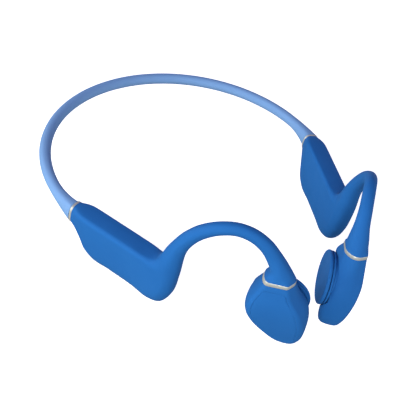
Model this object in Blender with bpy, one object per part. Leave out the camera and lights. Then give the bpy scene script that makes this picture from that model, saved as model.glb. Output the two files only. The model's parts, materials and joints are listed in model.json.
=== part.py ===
"""Wrap-around bone conduction headphones.

A springy band runs behind the neck. At each end a collar ring joins it to an arm: a flat pod, and a
thin hook that arches over the ear down to a capsule, whose round pad rests on the cheekbone.
+X is the wearer's left, -Y is the way the wearer faces, +Z is up, and Z = 0 is the table.

Every length in this file is in millimetres and every angle in degrees. build_mesh() turns the
millimetres into metres. Each side is worked out once, for the left, and mirrored for the right.

Arm coordinates: s runs forward along the arm's path seen from above, n is the distance outwards
from that path, and z is the height above the plane of the neckband.
"""

import math

import bmesh
import bpy
import numpy as np

METRES = 0.001

# Neckband: half an ellipse, seen from above
BAND_HALF_WIDTH = 63.5
BAND_HALF_DEPTH = 60.3
BAND_CENTRE_Y = 10.0
SLEEVE_RADIUS = 2.5
FLARE_LENGTH = 17.0
COLLAR_SHIFT = -0.5
COLLAR_TOP = 3.7
COLLAR_BOTTOM = -5.6
BORE_HALF_WIDTH = 0.85
BORE_HALF_HEIGHT = 1.55
WIRE_RADIUS = 0.45
HOOK_WIRE_OFFSET = 0.6
HOOK_WIRE_RADIUS = 0.4
HOOK_WIRE_START = 0.4
HOOK_WIRE_TAIL = 3.6
WIRE_OFFSET = 0.8
SPLIT_GAP = 0.3

# Path of an arm, seen from above: straight, then bent inwards over the ear, then straight again
ARM_START = (61.7, 0.0)
POD_HEADING = 21.0
HOOK_HEADING = 46.0
BEND_START = 50.5
BEND_LENGTH = 15.0

# Walls, gaps and rings. The trim ring fills these shares of the way from the hook to the capsule.
SKIN_WALL = 1.2
CAPSULE_WALL = 1.1
GAP = 0.3
COLLAR_RING = 0.9
TRIM_SHARES = (0.16, 0.84)
RING_PROUD = 0.08
RING_DEPTH = 1.3
RING_HOLE_MARGIN = 0.1

# Pod contents, in a frame that leans with the pod: along, across, up
POD_CENTRE = (24.2, 0.05, -6.0)
POD_LEAN = 3.4
CHASSIS = (27.4, 4.7, 16.4)
CHASSIS_WALL = 0.5
# Each content: its size and the place of its middle
BATTERY = ((23.6, 3.2, 13.4), (-1.2, -0.15, 0.0))
PROTECTION_BOARD = ((1.0, 2.8, 12.0), (12.0, -0.1, 0.0))
BOARD = ((25.8, 0.8, 14.4), (0.0, 1.25, 0.0))
MODULE = ((9.0, 1.5, 9.0), (-3.0, -0.05, 0.5))
POWER_CHIP = ((4.0, 1.0, 4.0), (5.5, 0.2, -3.6))
ANTENNA = ((8.0, 1.3, 2.2), (7.0, 0.05, 5.2))

# Underside of the right pod: stations along the arm
SOCKET_S = 14.8
LIGHT_S = 20.7
DOWN_S = 26.5
UP_S = 34.7
MIC_S = 39.8
KEEL_N = -0.75
KEEL_Z = -19.45
KEEL_SLOPE = 0.038
KEEL_MIDDLE = 28.0
KEEL_DEPTH = 0.1
BUTTON = (6.6, 2.4)
BUTTON_TOP = 3.0
FLANGE = (7.8, 2.4)
FLANGE_HEIGHTS = (2.55, 3.1)
KEY_SWITCH = ((3.6, 2.0, 1.1), (0.0, 0.2, 4.45))
SOCKET = (8.0, 3.0)
SOCKET_TOP = 2.6
CONTACT_PITCH = 4.0
CONTACT_RADIUS = 0.7
CONTACT_BORE = 0.95
RECESS = 0.15
SLOT_HEIGHTS = (-2.0, 2.3)
LIGHT_RADIUS = 0.6
LIGHT_HOLE = 0.85
MIC_RADIUS = 1.1
MIC_HOLE = 0.5

# Transducer: the pad's centre and the direction it faces
PAD_CENTRE = (10.5, -71.75, 0.1)
PAD_NORMAL = (-0.772, 0.634, 0.05)
PAD_SQUASH = 0.92
PANEL_INSET = 1.6
PANEL_LIP = 0.9
PANEL_REACH = 10.0
PLATE_FLOOR = 1.0
LIP_FLOOR = 0.5
OPENING_FLOOR = 2.0
PANEL_FRAME_S = 92.0
PANEL_SHARES = (0.11, 0.86)

# Turned pieces of the transducer: (radius, distance in front of the pad's face)
PAD = [(7.6, -3.0), (7.6, -1.4), (11.4, -1.4), (11.7, -1.15), (11.7, -0.6), (11.45, -0.2), (10.95, 0.0)]
SURROUND = [(8.3, -1.75), (11.3, -1.75), (11.5, -1.95), (11.5, -2.4), (11.2, -2.65), (8.3, -2.65)]
NECK = [(9.9, -7.8), (10.7, -4.4), (10.7, -3.0)]
PAD_SEAT = [(8.9, -8.8), (8.9, -2.9), (12.1, -2.9), (12.1, 2.0)]
DRIVE_PLATE = [(7.0, -4.1), (7.0, -3.2)]
COIL = [(4.9, -4.3), (5.6, -4.3), (5.6, -7.3), (4.9, -7.3)]
SPRING_PLATE = [(6.7, -4.6), (8.5, -4.6), (8.5, -4.85), (6.7, -4.85)]
YOKE = [(6.9, -9.4), (6.9, -5.2)]
YOKE_WELL = [(6.1, -8.3), (6.1, -4.0)]
MAGNET = [(4.4, -8.0), (4.4, -5.5)]
FACE_SWITCH = ((3.4, 3.4, 1.6), (0.0, 0.0, -10.9))

COLOURS = {
    "band_silicone": ((0.16, 0.31, 0.62, 1), 0.55, 0.0),
    "skin_silicone": ((0.03, 0.17, 0.49, 1), 0.5, 0.0),
    "ring_metal": ((0.50, 0.49, 0.46, 1), 0.35, 1.0),
    "titanium": ((0.45, 0.44, 0.43, 1), 0.3, 1.0),
    "cable_jacket": ((0.02, 0.02, 0.02, 1), 0.6, 0.0),
    "black_nylon": ((0.03, 0.03, 0.035, 1), 0.6, 0.0),
    "battery_foil": ((0.55, 0.57, 0.6, 1), 0.35, 1.0),
    "circuit_board": ((0.01, 0.12, 0.05, 1), 0.5, 0.0),
    "chip_epoxy": ((0.02, 0.02, 0.02, 1), 0.4, 0.0),
    "copper": ((0.7, 0.32, 0.16, 1), 0.35, 1.0),
    "gold": ((0.9, 0.65, 0.25, 1), 0.25, 1.0),
    "steel": ((0.5, 0.5, 0.52, 1), 0.3, 1.0),
    "magnet": ((0.25, 0.25, 0.27, 1), 0.35, 1.0),
    "light_pipe": ((0.8, 0.85, 0.9, 1), 0.15, 0.0),
}


# ---------------------------------------------------------------- curves and outlines

def plan(s):
    """Point, forward direction and outward direction, seen from above, at distance s along the arm."""
    first, last = math.radians(POD_HEADING), math.radians(HOOK_HEADING)
    turn = (last - first) / BEND_LENGTH
    bent = min(max(s - BEND_START, 0.0), BEND_LENGTH)
    heading = first + turn * bent
    x, y = ARM_START
    straight = min(s, BEND_START)
    x -= math.sin(first) * straight
    y -= math.cos(first) * straight
    x += (math.cos(heading) - math.cos(first)) / turn
    y -= (math.sin(heading) - math.sin(first)) / turn
    rest = max(s - BEND_START - BEND_LENGTH, 0.0)
    x -= math.sin(heading) * rest
    y -= math.cos(heading) * rest
    forward = (-math.sin(heading), -math.cos(heading))
    outward = (math.cos(heading), -math.sin(heading))
    return (x, y), forward, outward


def place(s, n, z):
    """Arm coordinates to a point."""
    (x, y), _, outward = plan(s)
    return np.array([x + outward[0] * n, y + outward[1] * n, z])


def smooth_rows(rows, travel, places):
    """Rows of numbers read off a smooth curve through the given rows, at the given distances along it."""
    rows = np.array(rows, float)
    last = len(rows) - 1
    slopes = np.zeros_like(rows)
    slopes[0] = (rows[1] - rows[0]) / (travel[1] - travel[0])
    slopes[last] = (rows[last] - rows[last - 1]) / (travel[last] - travel[last - 1])
    for i in range(1, last):
        before, after = travel[i] - travel[i - 1], travel[i + 1] - travel[i]
        slope_in = (rows[i] - rows[i - 1]) / before
        slope_out = (rows[i + 1] - rows[i]) / after
        slopes[i] = (slope_in * after + slope_out * before) / (before + after)
    read = []
    for at in places:
        i = min(max(int(np.searchsorted(travel, at, side="right")) - 1, 0), last - 1)
        step = travel[i + 1] - travel[i]
        x = (at - travel[i]) / step
        read.append(
            (2 * x**3 - 3 * x**2 + 1) * rows[i]
            + (x**3 - 2 * x**2 + x) * step * slopes[i]
            + (3 * x**2 - 2 * x**3) * rows[i + 1]
            + (x**3 - x**2) * step * slopes[i + 1]
        )
    return np.array(read)


def rounded(corners, cuts, steps):
    """Closed outline through corners, each cut back by its distance and rounded like an arc."""
    bow = 0.5523
    corners = np.array(corners, float)
    points = []
    for i, corner in enumerate(corners):
        before, after = corners[i - 1], corners[(i + 1) % len(corners)]
        to_before, to_after = np.linalg.norm(before - corner), np.linalg.norm(after - corner)
        start = corner + (before - corner) / to_before * min(cuts[i], 0.499 * to_before)
        end = corner + (after - corner) / to_after * min(cuts[i], 0.499 * to_after)
        handle_in = start + (corner - start) * bow
        handle_out = end + (corner - end) * bow
        for j in range(steps + 1):
            t = j / steps
            points.append(
                (1 - t) ** 3 * start
                + 3 * (1 - t) ** 2 * t * handle_in
                + 3 * (1 - t) * t * t * handle_out
                + t**3 * end
            )
    return np.array(points)


# ---------------------------------------------------------------- sections of the arm and capsule

# A profile is a section's six corners and how far each is rounded. A corner is (n, fraction of the
# way down from crown to keel), in the order outer ridge, crown, inner ridge, inner edge, keel,
# outer edge.
COLLAR = (
    [(3.5, 0.10), (0.4, -0.01), (-3.2, 0.08), (-3.5, 0.88), (0.3, 1.0), (3.8, 0.88)],
    [2.2, 2.5, 2.2, 3, 3, 3],
)
POD = (
    [(5.6, 0.03), (0.8, 0), (-4.15, 0), (-4.4, 0.90), (-0.9, 1.02), (3.0, 0.90)],
    [1.9, 3.0, 1.4, 3.2, 4.5, 3.2],
)
POD_FRONT = (
    [(5.5, 0.03), (0.8, 0), (-4.1, 0), (-4.4, 0.90), (-0.5, 1.02), (4.1, 0.90)],
    [1.9, 3.0, 1.6, 3.2, 4.5, 3.2],
)
HOOK_END = (
    [(5.6, 0.26), (0.9, -0.01), (-3.5, 0.26), (-4.6, 0.90), (0.2, 1.01), (4.9, 0.91)],
    [0.8, 4, 2.0, 2.5, 3, 1.6],
)


def round_profile(half_width, shift=0.0):
    """A hexagon rounded until it is an ellipse."""
    upper, lower = 0.5 - 0.5 * 0.577, 0.5 + 0.5 * 0.577
    right, left = shift + half_width, shift - half_width
    corners = [(right, upper), (shift, -0.077), (left, upper)]
    corners += [(left, lower), (shift, 1.077), (right, lower)]
    return corners, [9.0] * 6


def mixed(first, second, share):
    corners = np.array(first[0]) * (1 - share) + np.array(second[0]) * share
    cuts = np.array(first[1]) * (1 - share) + np.array(second[1]) * share
    return corners, cuts


def station(crown, keel, profile):
    """One row of numbers: crown (s, z), keel (s, z), six corners and six cuts."""
    return [*crown, *keel, *np.ravel(profile[0]), *profile[1]]


# The pod: its rear edge slopes down from the collar, and its front corner turns up into the hook
def keel_height(s):
    """Height of the underside of the pod, which drops slightly towards the front."""
    return KEEL_Z - KEEL_SLOPE * (s - KEEL_MIDDLE)


POD_STATIONS = [
    station((0.0, COLLAR_TOP), (0.0, COLLAR_BOTTOM), COLLAR),
    station((1.6, 3.95), (2.6, -8.4), mixed(COLLAR, POD, 0.4)),
    station((3.4, 4.05), (5.8, -12.9), mixed(COLLAR, POD, 0.75)),
    station((5.6, 4.05), (8.2, -16.9), mixed(COLLAR, POD, 0.95)),
    station((8.6, 4.0), (11.2, keel_height(11.2)), POD),
    station((18.0, 3.95), (21.0, keel_height(21.0)), POD),
    station((30.0, 3.85), (33.0, keel_height(33.0)), POD),
    station((36.5, 3.75), (41.5, keel_height(41.5)), mixed(POD, POD_FRONT, 0.6)),
    station((40.5, 4.2), (46.8, -17.4), mixed(POD_FRONT, round_profile(4.6, 1.0), 0.1)),
    station((42.3, 6.3), (50.1, -10.8), mixed(POD_FRONT, round_profile(4.5, 1.1), 0.35)),
    station((43.4, 9.6), (51.3, -2.0), mixed(POD_FRONT, round_profile(4.25, 1.15), 0.65)),
]

# The hook's centre line (s, z), half height, half width, sideways shift and share of its end shape
HOOK = [
    (48.7, 13.5, 3.6, 3.7, 0.6, 0.0),
    (51.9, 20.9, 3.05, 3.15, 0.4, 0.0),
    (56.8, 27.4, 2.8, 2.9, 0.15, 0.0),
    (62.3, 31.3, 2.65, 2.7, -0.1, 0.0),
    (68.2, 32.9, 2.6, 2.6, -0.3, 0.0),
    (74.3, 32.1, 2.65, 2.65, -0.35, 0.0),
    (80.2, 28.9, 2.85, 2.7, -0.15, 0.05),
    (84.4, 24.4, 3.2, 3.0, 0.0, 0.16),
    (87.3, 20.4, 3.9, 3.7, 0.1, 0.45),
]
HOOK_LAST = ((95.5, 17.2), (82.3, 15.7))
CAPSULE_FIRST = ((95.75, 15.65), (81.95, 13.75))


def hook_stations():
    """The hook's stations: crown and keel lie across its centre line."""
    centre = np.array([row[:2] for row in HOOK])
    last = (np.array(HOOK_LAST[0]) + np.array(HOOK_LAST[1])) / 2
    path = np.vstack([(46.0, 6.0), centre, last])
    found = []
    for i, (s, z, half_height, half_width, shift, share) in enumerate(HOOK):
        along = path[i + 2] - path[i]
        across = np.array([-along[1], along[0]]) / np.linalg.norm(along) * half_height
        shape = mixed(round_profile(half_width, shift), HOOK_END, share)
        found.append(station((s, z) + across, (s, z) - across, shape))
    return found


ARM_STATIONS = POD_STATIONS + hook_stations() + [station(*HOOK_LAST, HOOK_END)]

# The capsule: from the trim ring down to its rounded bottom. Its flat outer face widens downwards
# between two soft creases, and its inner side leans to meet the pad.
CAPSULE_STATIONS = [
    station(*CAPSULE_FIRST, HOOK_END),
    station((98.8, 10.6), (80.0, 8.6), (
        [(6.4, 0.23), (0.5, 0), (-4.0, 0.18), (-6.4, 0.94), (0.3, 1.01), (5.4, 0.93)],
        [1.0, 4, 2.4, 3, 4, 1.2])),
    station((102.6, 5.2), (78.6, 4.0), (
        [(7.0, 0.17), (0.2, 0), (-4.9, 0.10), (-5.3, 0.95), (0.3, 1.01), (5.8, 0.95)],
        [1.2, 4, 2.6, 3, 4, 1.3])),
    station((104.4, -0.4), (78.6, -1.4), (
        [(6.6, 0.12), (-0.2, 0), (-5.8, 0.07), (-4.2, 0.94), (0.3, 1.01), (5.5, 0.95)],
        [1.5, 4, 2.8, 3, 4, 1.6])),
    station((104.8, -6.2), (81.5, -6.8), (
        [(5.6, 0.09), (-0.4, 0), (-6.8, 0.06), (-4.2, 0.93), (0.2, 1.01), (4.7, 0.94)],
        [1.8, 4, 3, 3, 4, 2.0])),
    station((104.2, -11.6), (86.9, -11.7), (
        [(4.3, 0.08), (-0.7, 0), (-6.4, 0.07), (-4.6, 0.92), (0.0, 1.01), (3.8, 0.93)],
        [2.2, 4, 3, 3, 4, 2.2])),
    station((102.6, -14.8), (91.7, -14.9), (
        [(3.3, 0.09), (-1.0, 0), (-5.6, 0.09), (-4.8, 0.90), (-0.5, 1.01), (3.1, 0.91)],
        [2.4, 4, 3, 3, 4, 2.4])),
    station((99.8, -16.25), (94.9, -16.05), (
        [(2.3, 0.10), (-1.1, 0), (-4.4, 0.12), (-4.2, 0.88), (-1.1, 1.01), (2.2, 0.9)],
        [2, 2, 2, 2, 2, 2])),
]


def travel_along(stations):
    """Mean distance that crown and keel have covered at each station."""
    ends = np.array(stations)[:, :4]
    steps = np.diff(ends, axis=0)
    lengths = np.hypot(steps[:, 0], steps[:, 1]) + np.hypot(steps[:, 2], steps[:, 3])
    return np.concatenate([[0.0], np.cumsum(lengths) / 2])


def section(row, steps, wall=0.0):
    """Outline, in space, of one section, or of the hollow inside it when it has a wall."""
    crown_s, crown_z, keel_s, keel_z = row[:4]
    height = math.hypot(keel_s - crown_s, keel_z - crown_z)
    corners, cuts = np.array(row[4:16]).reshape(6, 2), row[16:]
    middle = (corners[:, 0].max() + corners[:, 0].min()) / 2
    half = (corners[:, 0].max() - corners[:, 0].min()) / 2
    across = middle + (corners[:, 0] - middle) * (half - wall) / half
    down = (0.5 + (corners[:, 1] - 0.5) * (height - 2 * wall) / height) * height
    outline = rounded(np.column_stack([across, down]), cuts, steps)
    to_keel_s, to_keel_z = (keel_s - crown_s) / height, (keel_z - crown_z) / height
    return np.array([place(crown_s + to_keel_s * d, n, crown_z + to_keel_z * d) for n, d in outline])


def sections(stations, count, steps, wall=0.0, first=0.0, last=1.0):
    """Sections spread evenly over part of the stations' length."""
    travel = travel_along(stations)
    places = np.linspace(travel[-1] * first, travel[-1] * last, count)
    return [section(row, steps, wall) for row in smooth_rows(stations, travel, places)]


# ---------------------------------------------------------------- the neckband's sections

def band_direction(angle):
    return np.array([math.cos(angle) * BAND_HALF_WIDTH, BAND_CENTRE_Y + math.sin(angle) * BAND_HALF_DEPTH])


def band_frames(count):
    """Centre, outward direction and flare (0 to 1) at even steps from the back to the collar."""
    end_angle = math.asin(-BAND_CENTRE_Y / BAND_HALF_DEPTH)
    angles = np.linspace(math.pi / 2, end_angle, 400)
    points = np.array([band_direction(angle) for angle in angles])
    travel = np.concatenate([[0.0], np.cumsum(np.linalg.norm(np.diff(points, axis=0), axis=1))])
    stop = travel[-1] - COLLAR_RING - 0.35
    start = SPLIT_GAP / 2
    pod_out = np.array([math.cos(math.radians(POD_HEADING)), -math.sin(math.radians(POD_HEADING))])
    frames = []
    for at in np.linspace(start, stop, count):
        angle = float(np.interp(at, travel, angles))
        centre = band_direction(angle)
        out = np.array([math.cos(angle) * BAND_HALF_DEPTH, math.sin(angle) * BAND_HALF_WIDTH])
        out /= np.linalg.norm(out)
        flare = max(0.0, 1 - (travel[-1] - at) / FLARE_LENGTH) ** 1.7
        out = out * (1 - flare) + pod_out * flare
        out /= np.linalg.norm(out)
        frames.append((centre + out * COLLAR_SHIFT * flare, out, flare))
    return frames


def band_sections(count, steps):
    found = []
    for centre, out, flare in band_frames(count):
        corners, cuts = mixed(round_profile(SLEEVE_RADIUS), COLLAR, flare)
        crown = SLEEVE_RADIUS + (COLLAR_TOP - SLEEVE_RADIUS) * flare
        keel = -SLEEVE_RADIUS + (COLLAR_BOTTOM + SLEEVE_RADIUS) * flare
        outline = rounded([(n, crown + (keel - crown) * q) for n, q in corners], cuts, steps)
        found.append(np.array([[*(centre + out * n), z] for n, z in outline]))
    return found


def bore_sections(count, steps):
    """The oval hole through the sleeve for the spring wire and the cable."""
    found = []
    corners, cuts = round_profile(BORE_HALF_WIDTH)
    for centre, out, _ in band_frames(count):
        outline = rounded([(n, BORE_HALF_HEIGHT * (1 - 2 * q)) for n, q in corners], cuts, steps)
        found.append(np.array([[*(centre + out * n), z] for n, z in outline]))
    return found


# ---------------------------------------------------------------- where the origin lies

def rest_offset():
    """Moves the model so that the origin is under the middle of its box, on the table."""
    lowest = min(ring[:, 2].min() for ring in sections(ARM_STATIONS, 60, 2))
    front = min(ring[:, 1].min() for ring in sections(CAPSULE_STATIONS, 40, 2))
    back = BAND_CENTRE_Y + BAND_HALF_DEPTH + SLEEVE_RADIUS
    return np.array([0.0, -(front + back) / 2, -lowest])


OFFSET = rest_offset()


# ---------------------------------------------------------------- meshes

def clear_scene():
    for obj in list(bpy.data.objects):
        bpy.data.objects.remove(obj, do_unlink=True)


def material(name):
    found = bpy.data.materials.get(name)
    if found:
        return found
    colour, roughness, metallic = COLOURS[name]
    found = bpy.data.materials.new(name)
    found.use_nodes = True
    shader = found.node_tree.nodes["Principled BSDF"]
    shader.inputs["Base Color"].default_value = colour
    shader.inputs["Roughness"].default_value = roughness
    shader.inputs["Metallic"].default_value = metallic
    found.diffuse_color = colour
    return found


def build_mesh(name, points, faces, finish, side=1, helper=False):
    """Object from points in millimetres, mirrored when side is -1, with its faces turned outwards."""
    mesh = bpy.data.meshes.new(name)
    moved = (np.array(points, float) + OFFSET) * np.array([side, 1, 1]) * METRES
    mesh.from_pydata([tuple(p) for p in moved], [], faces)
    builder = bmesh.new()
    builder.from_mesh(mesh)
    bmesh.ops.remove_doubles(builder, verts=builder.verts, dist=2e-5)
    bmesh.ops.recalc_face_normals(builder, faces=builder.faces)
    if builder.calc_volume(signed=True) < 0:
        bmesh.ops.reverse_faces(builder, faces=builder.faces)
    builder.to_mesh(mesh)
    builder.free()
    mesh.shade_smooth()
    mesh.set_sharp_from_angle(angle=math.radians(40))
    mesh.materials.append(material(finish))
    obj = bpy.data.objects.new(name, mesh)
    bpy.context.scene.collection.objects.link(obj)
    if helper:
        obj.hide_render = True
        obj.display_type = "WIRE"
    return obj


def skin_faces(rings, around, first=0):
    faces = []
    for k in range(rings - 1):
        for i in range(around):
            a = first + k * around + i
            b = first + k * around + (i + 1) % around
            faces.append((a, b, b + around, a + around))
    return faces


def loft(name, rings, finish, side=1, helper=False):
    """Solid through closed sections, with flat ends."""
    around = len(rings[0])
    faces = skin_faces(len(rings), around)
    faces.append(tuple(range(around)))
    faces.append(tuple(range((len(rings) - 1) * around, len(rings) * around)))
    return build_mesh(name, np.concatenate(rings), faces, finish, side, helper)


def pipe(name, outer, inner, finish, side=1, closed=False):
    """Shell between outer and inner sections, open at both ends, or only at the start when closed."""
    around = len(outer[0])
    shift = len(outer) * around
    faces = skin_faces(len(outer), around) + skin_faces(len(inner), around, shift)
    for i in range(around):
        j = (i + 1) % around
        faces.append((i, j, shift + j, shift + i))
    outer_end = (len(outer) - 1) * around
    inner_end = shift + (len(inner) - 1) * around
    if closed:
        faces.append(tuple(range(outer_end, outer_end + around)))
        faces.append(tuple(range(inner_end, inner_end + around)))
    else:
        for i in range(around):
            j = (i + 1) % around
            faces.append((outer_end + i, outer_end + j, inner_end + j, inner_end + i))
    return build_mesh(name, np.concatenate(outer + inner), faces, finish, side)


def rod(name, path, radius, sides, finish, side=1):
    """Round bar along a path, its sections square to the path."""
    path = np.array(path)
    rings = []
    for k, centre in enumerate(path):
        along = path[min(k + 1, len(path) - 1)] - path[max(k - 1, 0)]
        along /= np.linalg.norm(along)
        flat = np.cross(along, (0.0, 0.0, 1.0))
        if np.linalg.norm(flat) < 0.2:
            flat = np.cross(along, (1.0, 0.0, 0.0))
        flat /= np.linalg.norm(flat)
        up = np.cross(flat, along)
        turns = np.linspace(0, 2 * math.pi, sides, endpoint=False)
        rings.append(np.array([centre + radius * (math.cos(t) * flat + math.sin(t) * up) for t in turns]))
    return loft(name, rings, finish, side)


def frame_of(centre, along, out):
    """Rows: origin, and unit vectors along, out and up, square to each other."""
    along = np.array(along, float)
    along /= np.linalg.norm(along)
    out = np.array(out, float)
    out -= along * out.dot(along)
    out /= np.linalg.norm(out)
    return np.array([centre, along, out, np.cross(along, out)])


def in_frame(frame, points):
    return [frame[0] + frame[1] * a + frame[2] * b + frame[3] * c for a, b, c in points]


def block(name, frame, size, centre, finish, side=1, edge=0.0, helper=False):
    """Box in a frame, its long edges chamfered by edge."""
    half = np.array(size) / 2
    outline = []
    for a, b in ((-1, -1), (1, -1), (1, 1), (-1, 1)):
        if edge:
            cut_a = (a * (half[0] - edge), b * half[2])
            cut_b = (a * half[0], b * (half[2] - edge))
            outline += [cut_b, cut_a] if a * b > 0 else [cut_a, cut_b]
        else:
            outline.append((a * half[0], b * half[2]))
    rings = []
    for out in (-half[1], half[1]):
        points = [(centre[0] + a, centre[1] + out, centre[2] + c) for a, c in outline]
        rings.append(np.array(in_frame(frame, points)))
    return loft(name, rings, finish, side, helper)


def prism(name, frame, outline, low, high, finish, side=1, helper=False):
    """Outline in the frame's first two directions, drawn out along the third."""
    rings = [np.array(in_frame(frame, [(a, b, c) for a, b in outline])) for c in (low, high)]
    return loft(name, rings, finish, side, helper)


def pill(length, width, steps=3):
    """Outline of a slot with round ends."""
    signs = ((1, 1), (-1, 1), (-1, -1), (1, -1))
    corners = [(a * length / 2, b * width / 2) for a, b in signs]
    return rounded(corners, [width / 2] * 4, steps)


def turned(name, frame, profile, finish, side=1, sides=28, squash=1.0, hollow=False, helper=False):
    """Turned about the frame's third direction. The profile lists (radius, height). A hollow one
    is a ring: its profile closes on itself and never meets the axis."""
    turns = np.linspace(0, 2 * math.pi, sides, endpoint=False)
    rings = []
    for radius, height in profile:
        points = [(radius * math.cos(t), radius * squash * math.sin(t), height) for t in turns]
        rings.append(np.array(in_frame(frame, points)))
    if not hollow:
        return loft(name, rings, finish, side, helper)
    rings.append(rings[0])
    return build_mesh(name, np.concatenate(rings), skin_faces(len(rings), sides), finish, side, helper)


def cut(obj, *cutters):
    for cutter in cutters:
        modifier = obj.modifiers.new("cut_" + cutter.name, "BOOLEAN")
        modifier.operation = "DIFFERENCE"
        modifier.object = cutter
    return obj


def keep_common(obj, other):
    modifier = obj.modifiers.new("keep_" + other.name, "BOOLEAN")
    modifier.operation = "INTERSECT"
    modifier.object = other
    return obj


def join(obj, other):
    modifier = obj.modifiers.new("join_" + other.name, "BOOLEAN")
    modifier.operation = "UNION"
    modifier.object = other
    return obj


# ---------------------------------------------------------------- neckband and rings

def make_neckband(side, tag):
    pipe("neckband_sleeve_" + tag, band_sections(26, 2), bore_sections(26, 2), "band_silicone", side)
    cores = (("wire", WIRE_OFFSET, "titanium"), ("cable", -WIRE_OFFSET, "cable_jacket"))
    for name, height, finish in cores:
        path = [(*centre, height) for centre, _, _ in band_frames(20)]
        path += [place(s, 0.0, height) for s in (0.5, 3.0, 5.6)]
        rod("neckband_" + name + "_" + tag, path, WIRE_RADIUS, 6, finish, side)


def make_collar_ring(side, tag):
    """Thin plate between sleeve and pod, with one hole for the wire and the cable."""
    outer, inner = [], []
    corners, cuts = round_profile(BORE_HALF_WIDTH + RING_HOLE_MARGIN)
    half_height = BORE_HALF_HEIGHT + RING_HOLE_MARGIN
    hole = rounded([(n, half_height * (1 - 2 * q)) for n, q in corners], cuts, 2)
    for s in (-GAP - COLLAR_RING, -GAP):
        outer.append(section(station((s, COLLAR_TOP), (s, COLLAR_BOTTOM), COLLAR), 2, -RING_PROUD))
        inner.append(np.array([place(s, n, z) for n, z in hole]))
    pipe("collar_ring_" + tag, outer, inner, "ring_metal", side)


def make_trim_ring(side, tag):
    """Angular ring between the hook and the capsule."""
    outer, inner = [], []
    for share in TRIM_SHARES:
        ends = np.array(HOOK_LAST) * (1 - share) + np.array(CAPSULE_FIRST) * share
        row = station(ends[0], ends[1], HOOK_END)
        outer.append(section(row, 2, -RING_PROUD))
        inner.append(section(row, 2, RING_DEPTH))
    pipe("trim_ring_" + tag, outer, inner, "ring_metal", side)


# ---------------------------------------------------------------- arm

def keel_frame(s):
    """Frame on the underside of the pod: along the arm, outwards, up."""
    _, forward, outward = plan(s)
    at = place(s, KEEL_N, keel_height(s) + KEEL_DEPTH)
    return frame_of(at, (*forward, -KEEL_SLOPE), (*outward, 0.0))


def make_arm_skin(side, tag):
    """Silicone shell of pod and hook in one piece, open at the collar and at the trim ring."""
    outer = sections(ARM_STATIONS, 36, 2)
    inner = sections(ARM_STATIONS, 36, 2, SKIN_WALL)
    return pipe("arm_skin_" + tag, outer, inner, "skin_silicone", side)


def make_hook_wires(side, tag):
    """Spring wire and cable inside the hook, from the pod to just below the trim ring."""
    travel = travel_along(ARM_STATIONS)
    places = travel[-1] * np.linspace(HOOK_WIRE_START, 1.0, 22)
    rows = smooth_rows(ARM_STATIONS, travel, places)
    cores = (("wire", -HOOK_WIRE_OFFSET, "titanium"), ("cable", HOOK_WIRE_OFFSET, "cable_jacket"))
    for name, offset, finish in cores:
        path = []
        for row in rows:
            crown, keel, n = row[0:2], row[2:4], row[4:16:2]
            down = (keel - crown) / np.linalg.norm(keel - crown)
            s, z = (crown + keel) / 2 + down * offset
            path.append(place(s, (n.max() + n.min()) / 2, z))
        path.append(path[-1] + np.array([0.0, 0.0, -HOOK_WIRE_TAIL]))
        rod("hook_" + name + "_" + tag, path, HOOK_WIRE_RADIUS, 6, finish, side)


def pod_frame_axes():
    """Frame of the pod's contents, leaning outwards at the top like the pod."""
    _, forward, outward = plan(POD_CENTRE[0])
    lean = math.radians(POD_LEAN)
    out = (outward[0] * math.cos(lean), outward[1] * math.cos(lean), -math.sin(lean))
    return frame_of(place(*POD_CENTRE), (*forward, 0.0), out)


def make_chassis(side, tag):
    """Nylon tray, open towards the head."""
    frame = pod_frame_axes()
    length, width, height = CHASSIS
    inside = (length - 2 * CHASSIS_WALL, width + 1.0, height - 2 * CHASSIS_WALL)
    tray = block("pod_frame_" + tag, frame, CHASSIS, (0, 0, 0), "black_nylon", side, edge=1.2)
    middle = (0.0, -0.5 - CHASSIS_WALL, 0.0)
    hollow = block("hollow_" + tag, frame, inside, middle, "black_nylon", side, 0.8, True)
    cut(tray, hollow)


def make_left_contents():
    frame = pod_frame_axes()
    block("battery_left", frame, *BATTERY, "battery_foil", edge=0.7)
    block("battery_protection_board_left", frame, *PROTECTION_BOARD, "circuit_board")


def make_right_contents():
    frame = pod_frame_axes()
    block("main_board_right", frame, *BOARD, "circuit_board", -1)
    block("bluetooth_module_right", frame, *MODULE, "chip_epoxy", -1, edge=0.5)
    block("power_chip_right", frame, *POWER_CHIP, "chip_epoxy", -1)
    block("antenna_right", frame, *ANTENNA, "copper", -1)


def make_button(name, s):
    """Pill that slides up in its slot; the flange inside is longer than the slot and keeps it in."""
    frame = keel_frame(s)
    cap = prism(name, frame, pill(*BUTTON), RECESS, BUTTON_TOP, "skin_silicone", -1)
    join(cap, prism(name + "_flange", frame, pill(*FLANGE), *FLANGE_HEIGHTS, "skin_silicone", -1, True))


def slot(name, s, size):
    """Cutter for a slot in the skin, a gap wider than what fills it."""
    outline = pill(size[0] + 2 * GAP, size[1] + 2 * GAP)
    return prism(name, keel_frame(s), outline, *SLOT_HEIGHTS, "skin_silicone", -1, True)


def pin(name, frame, radius, low, high, finish, helper=False):
    """Small round bar on the underside of the right pod."""
    return turned(name, frame, [(radius, low), (radius, high)], finish, -1, 12, helper=helper)


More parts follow.
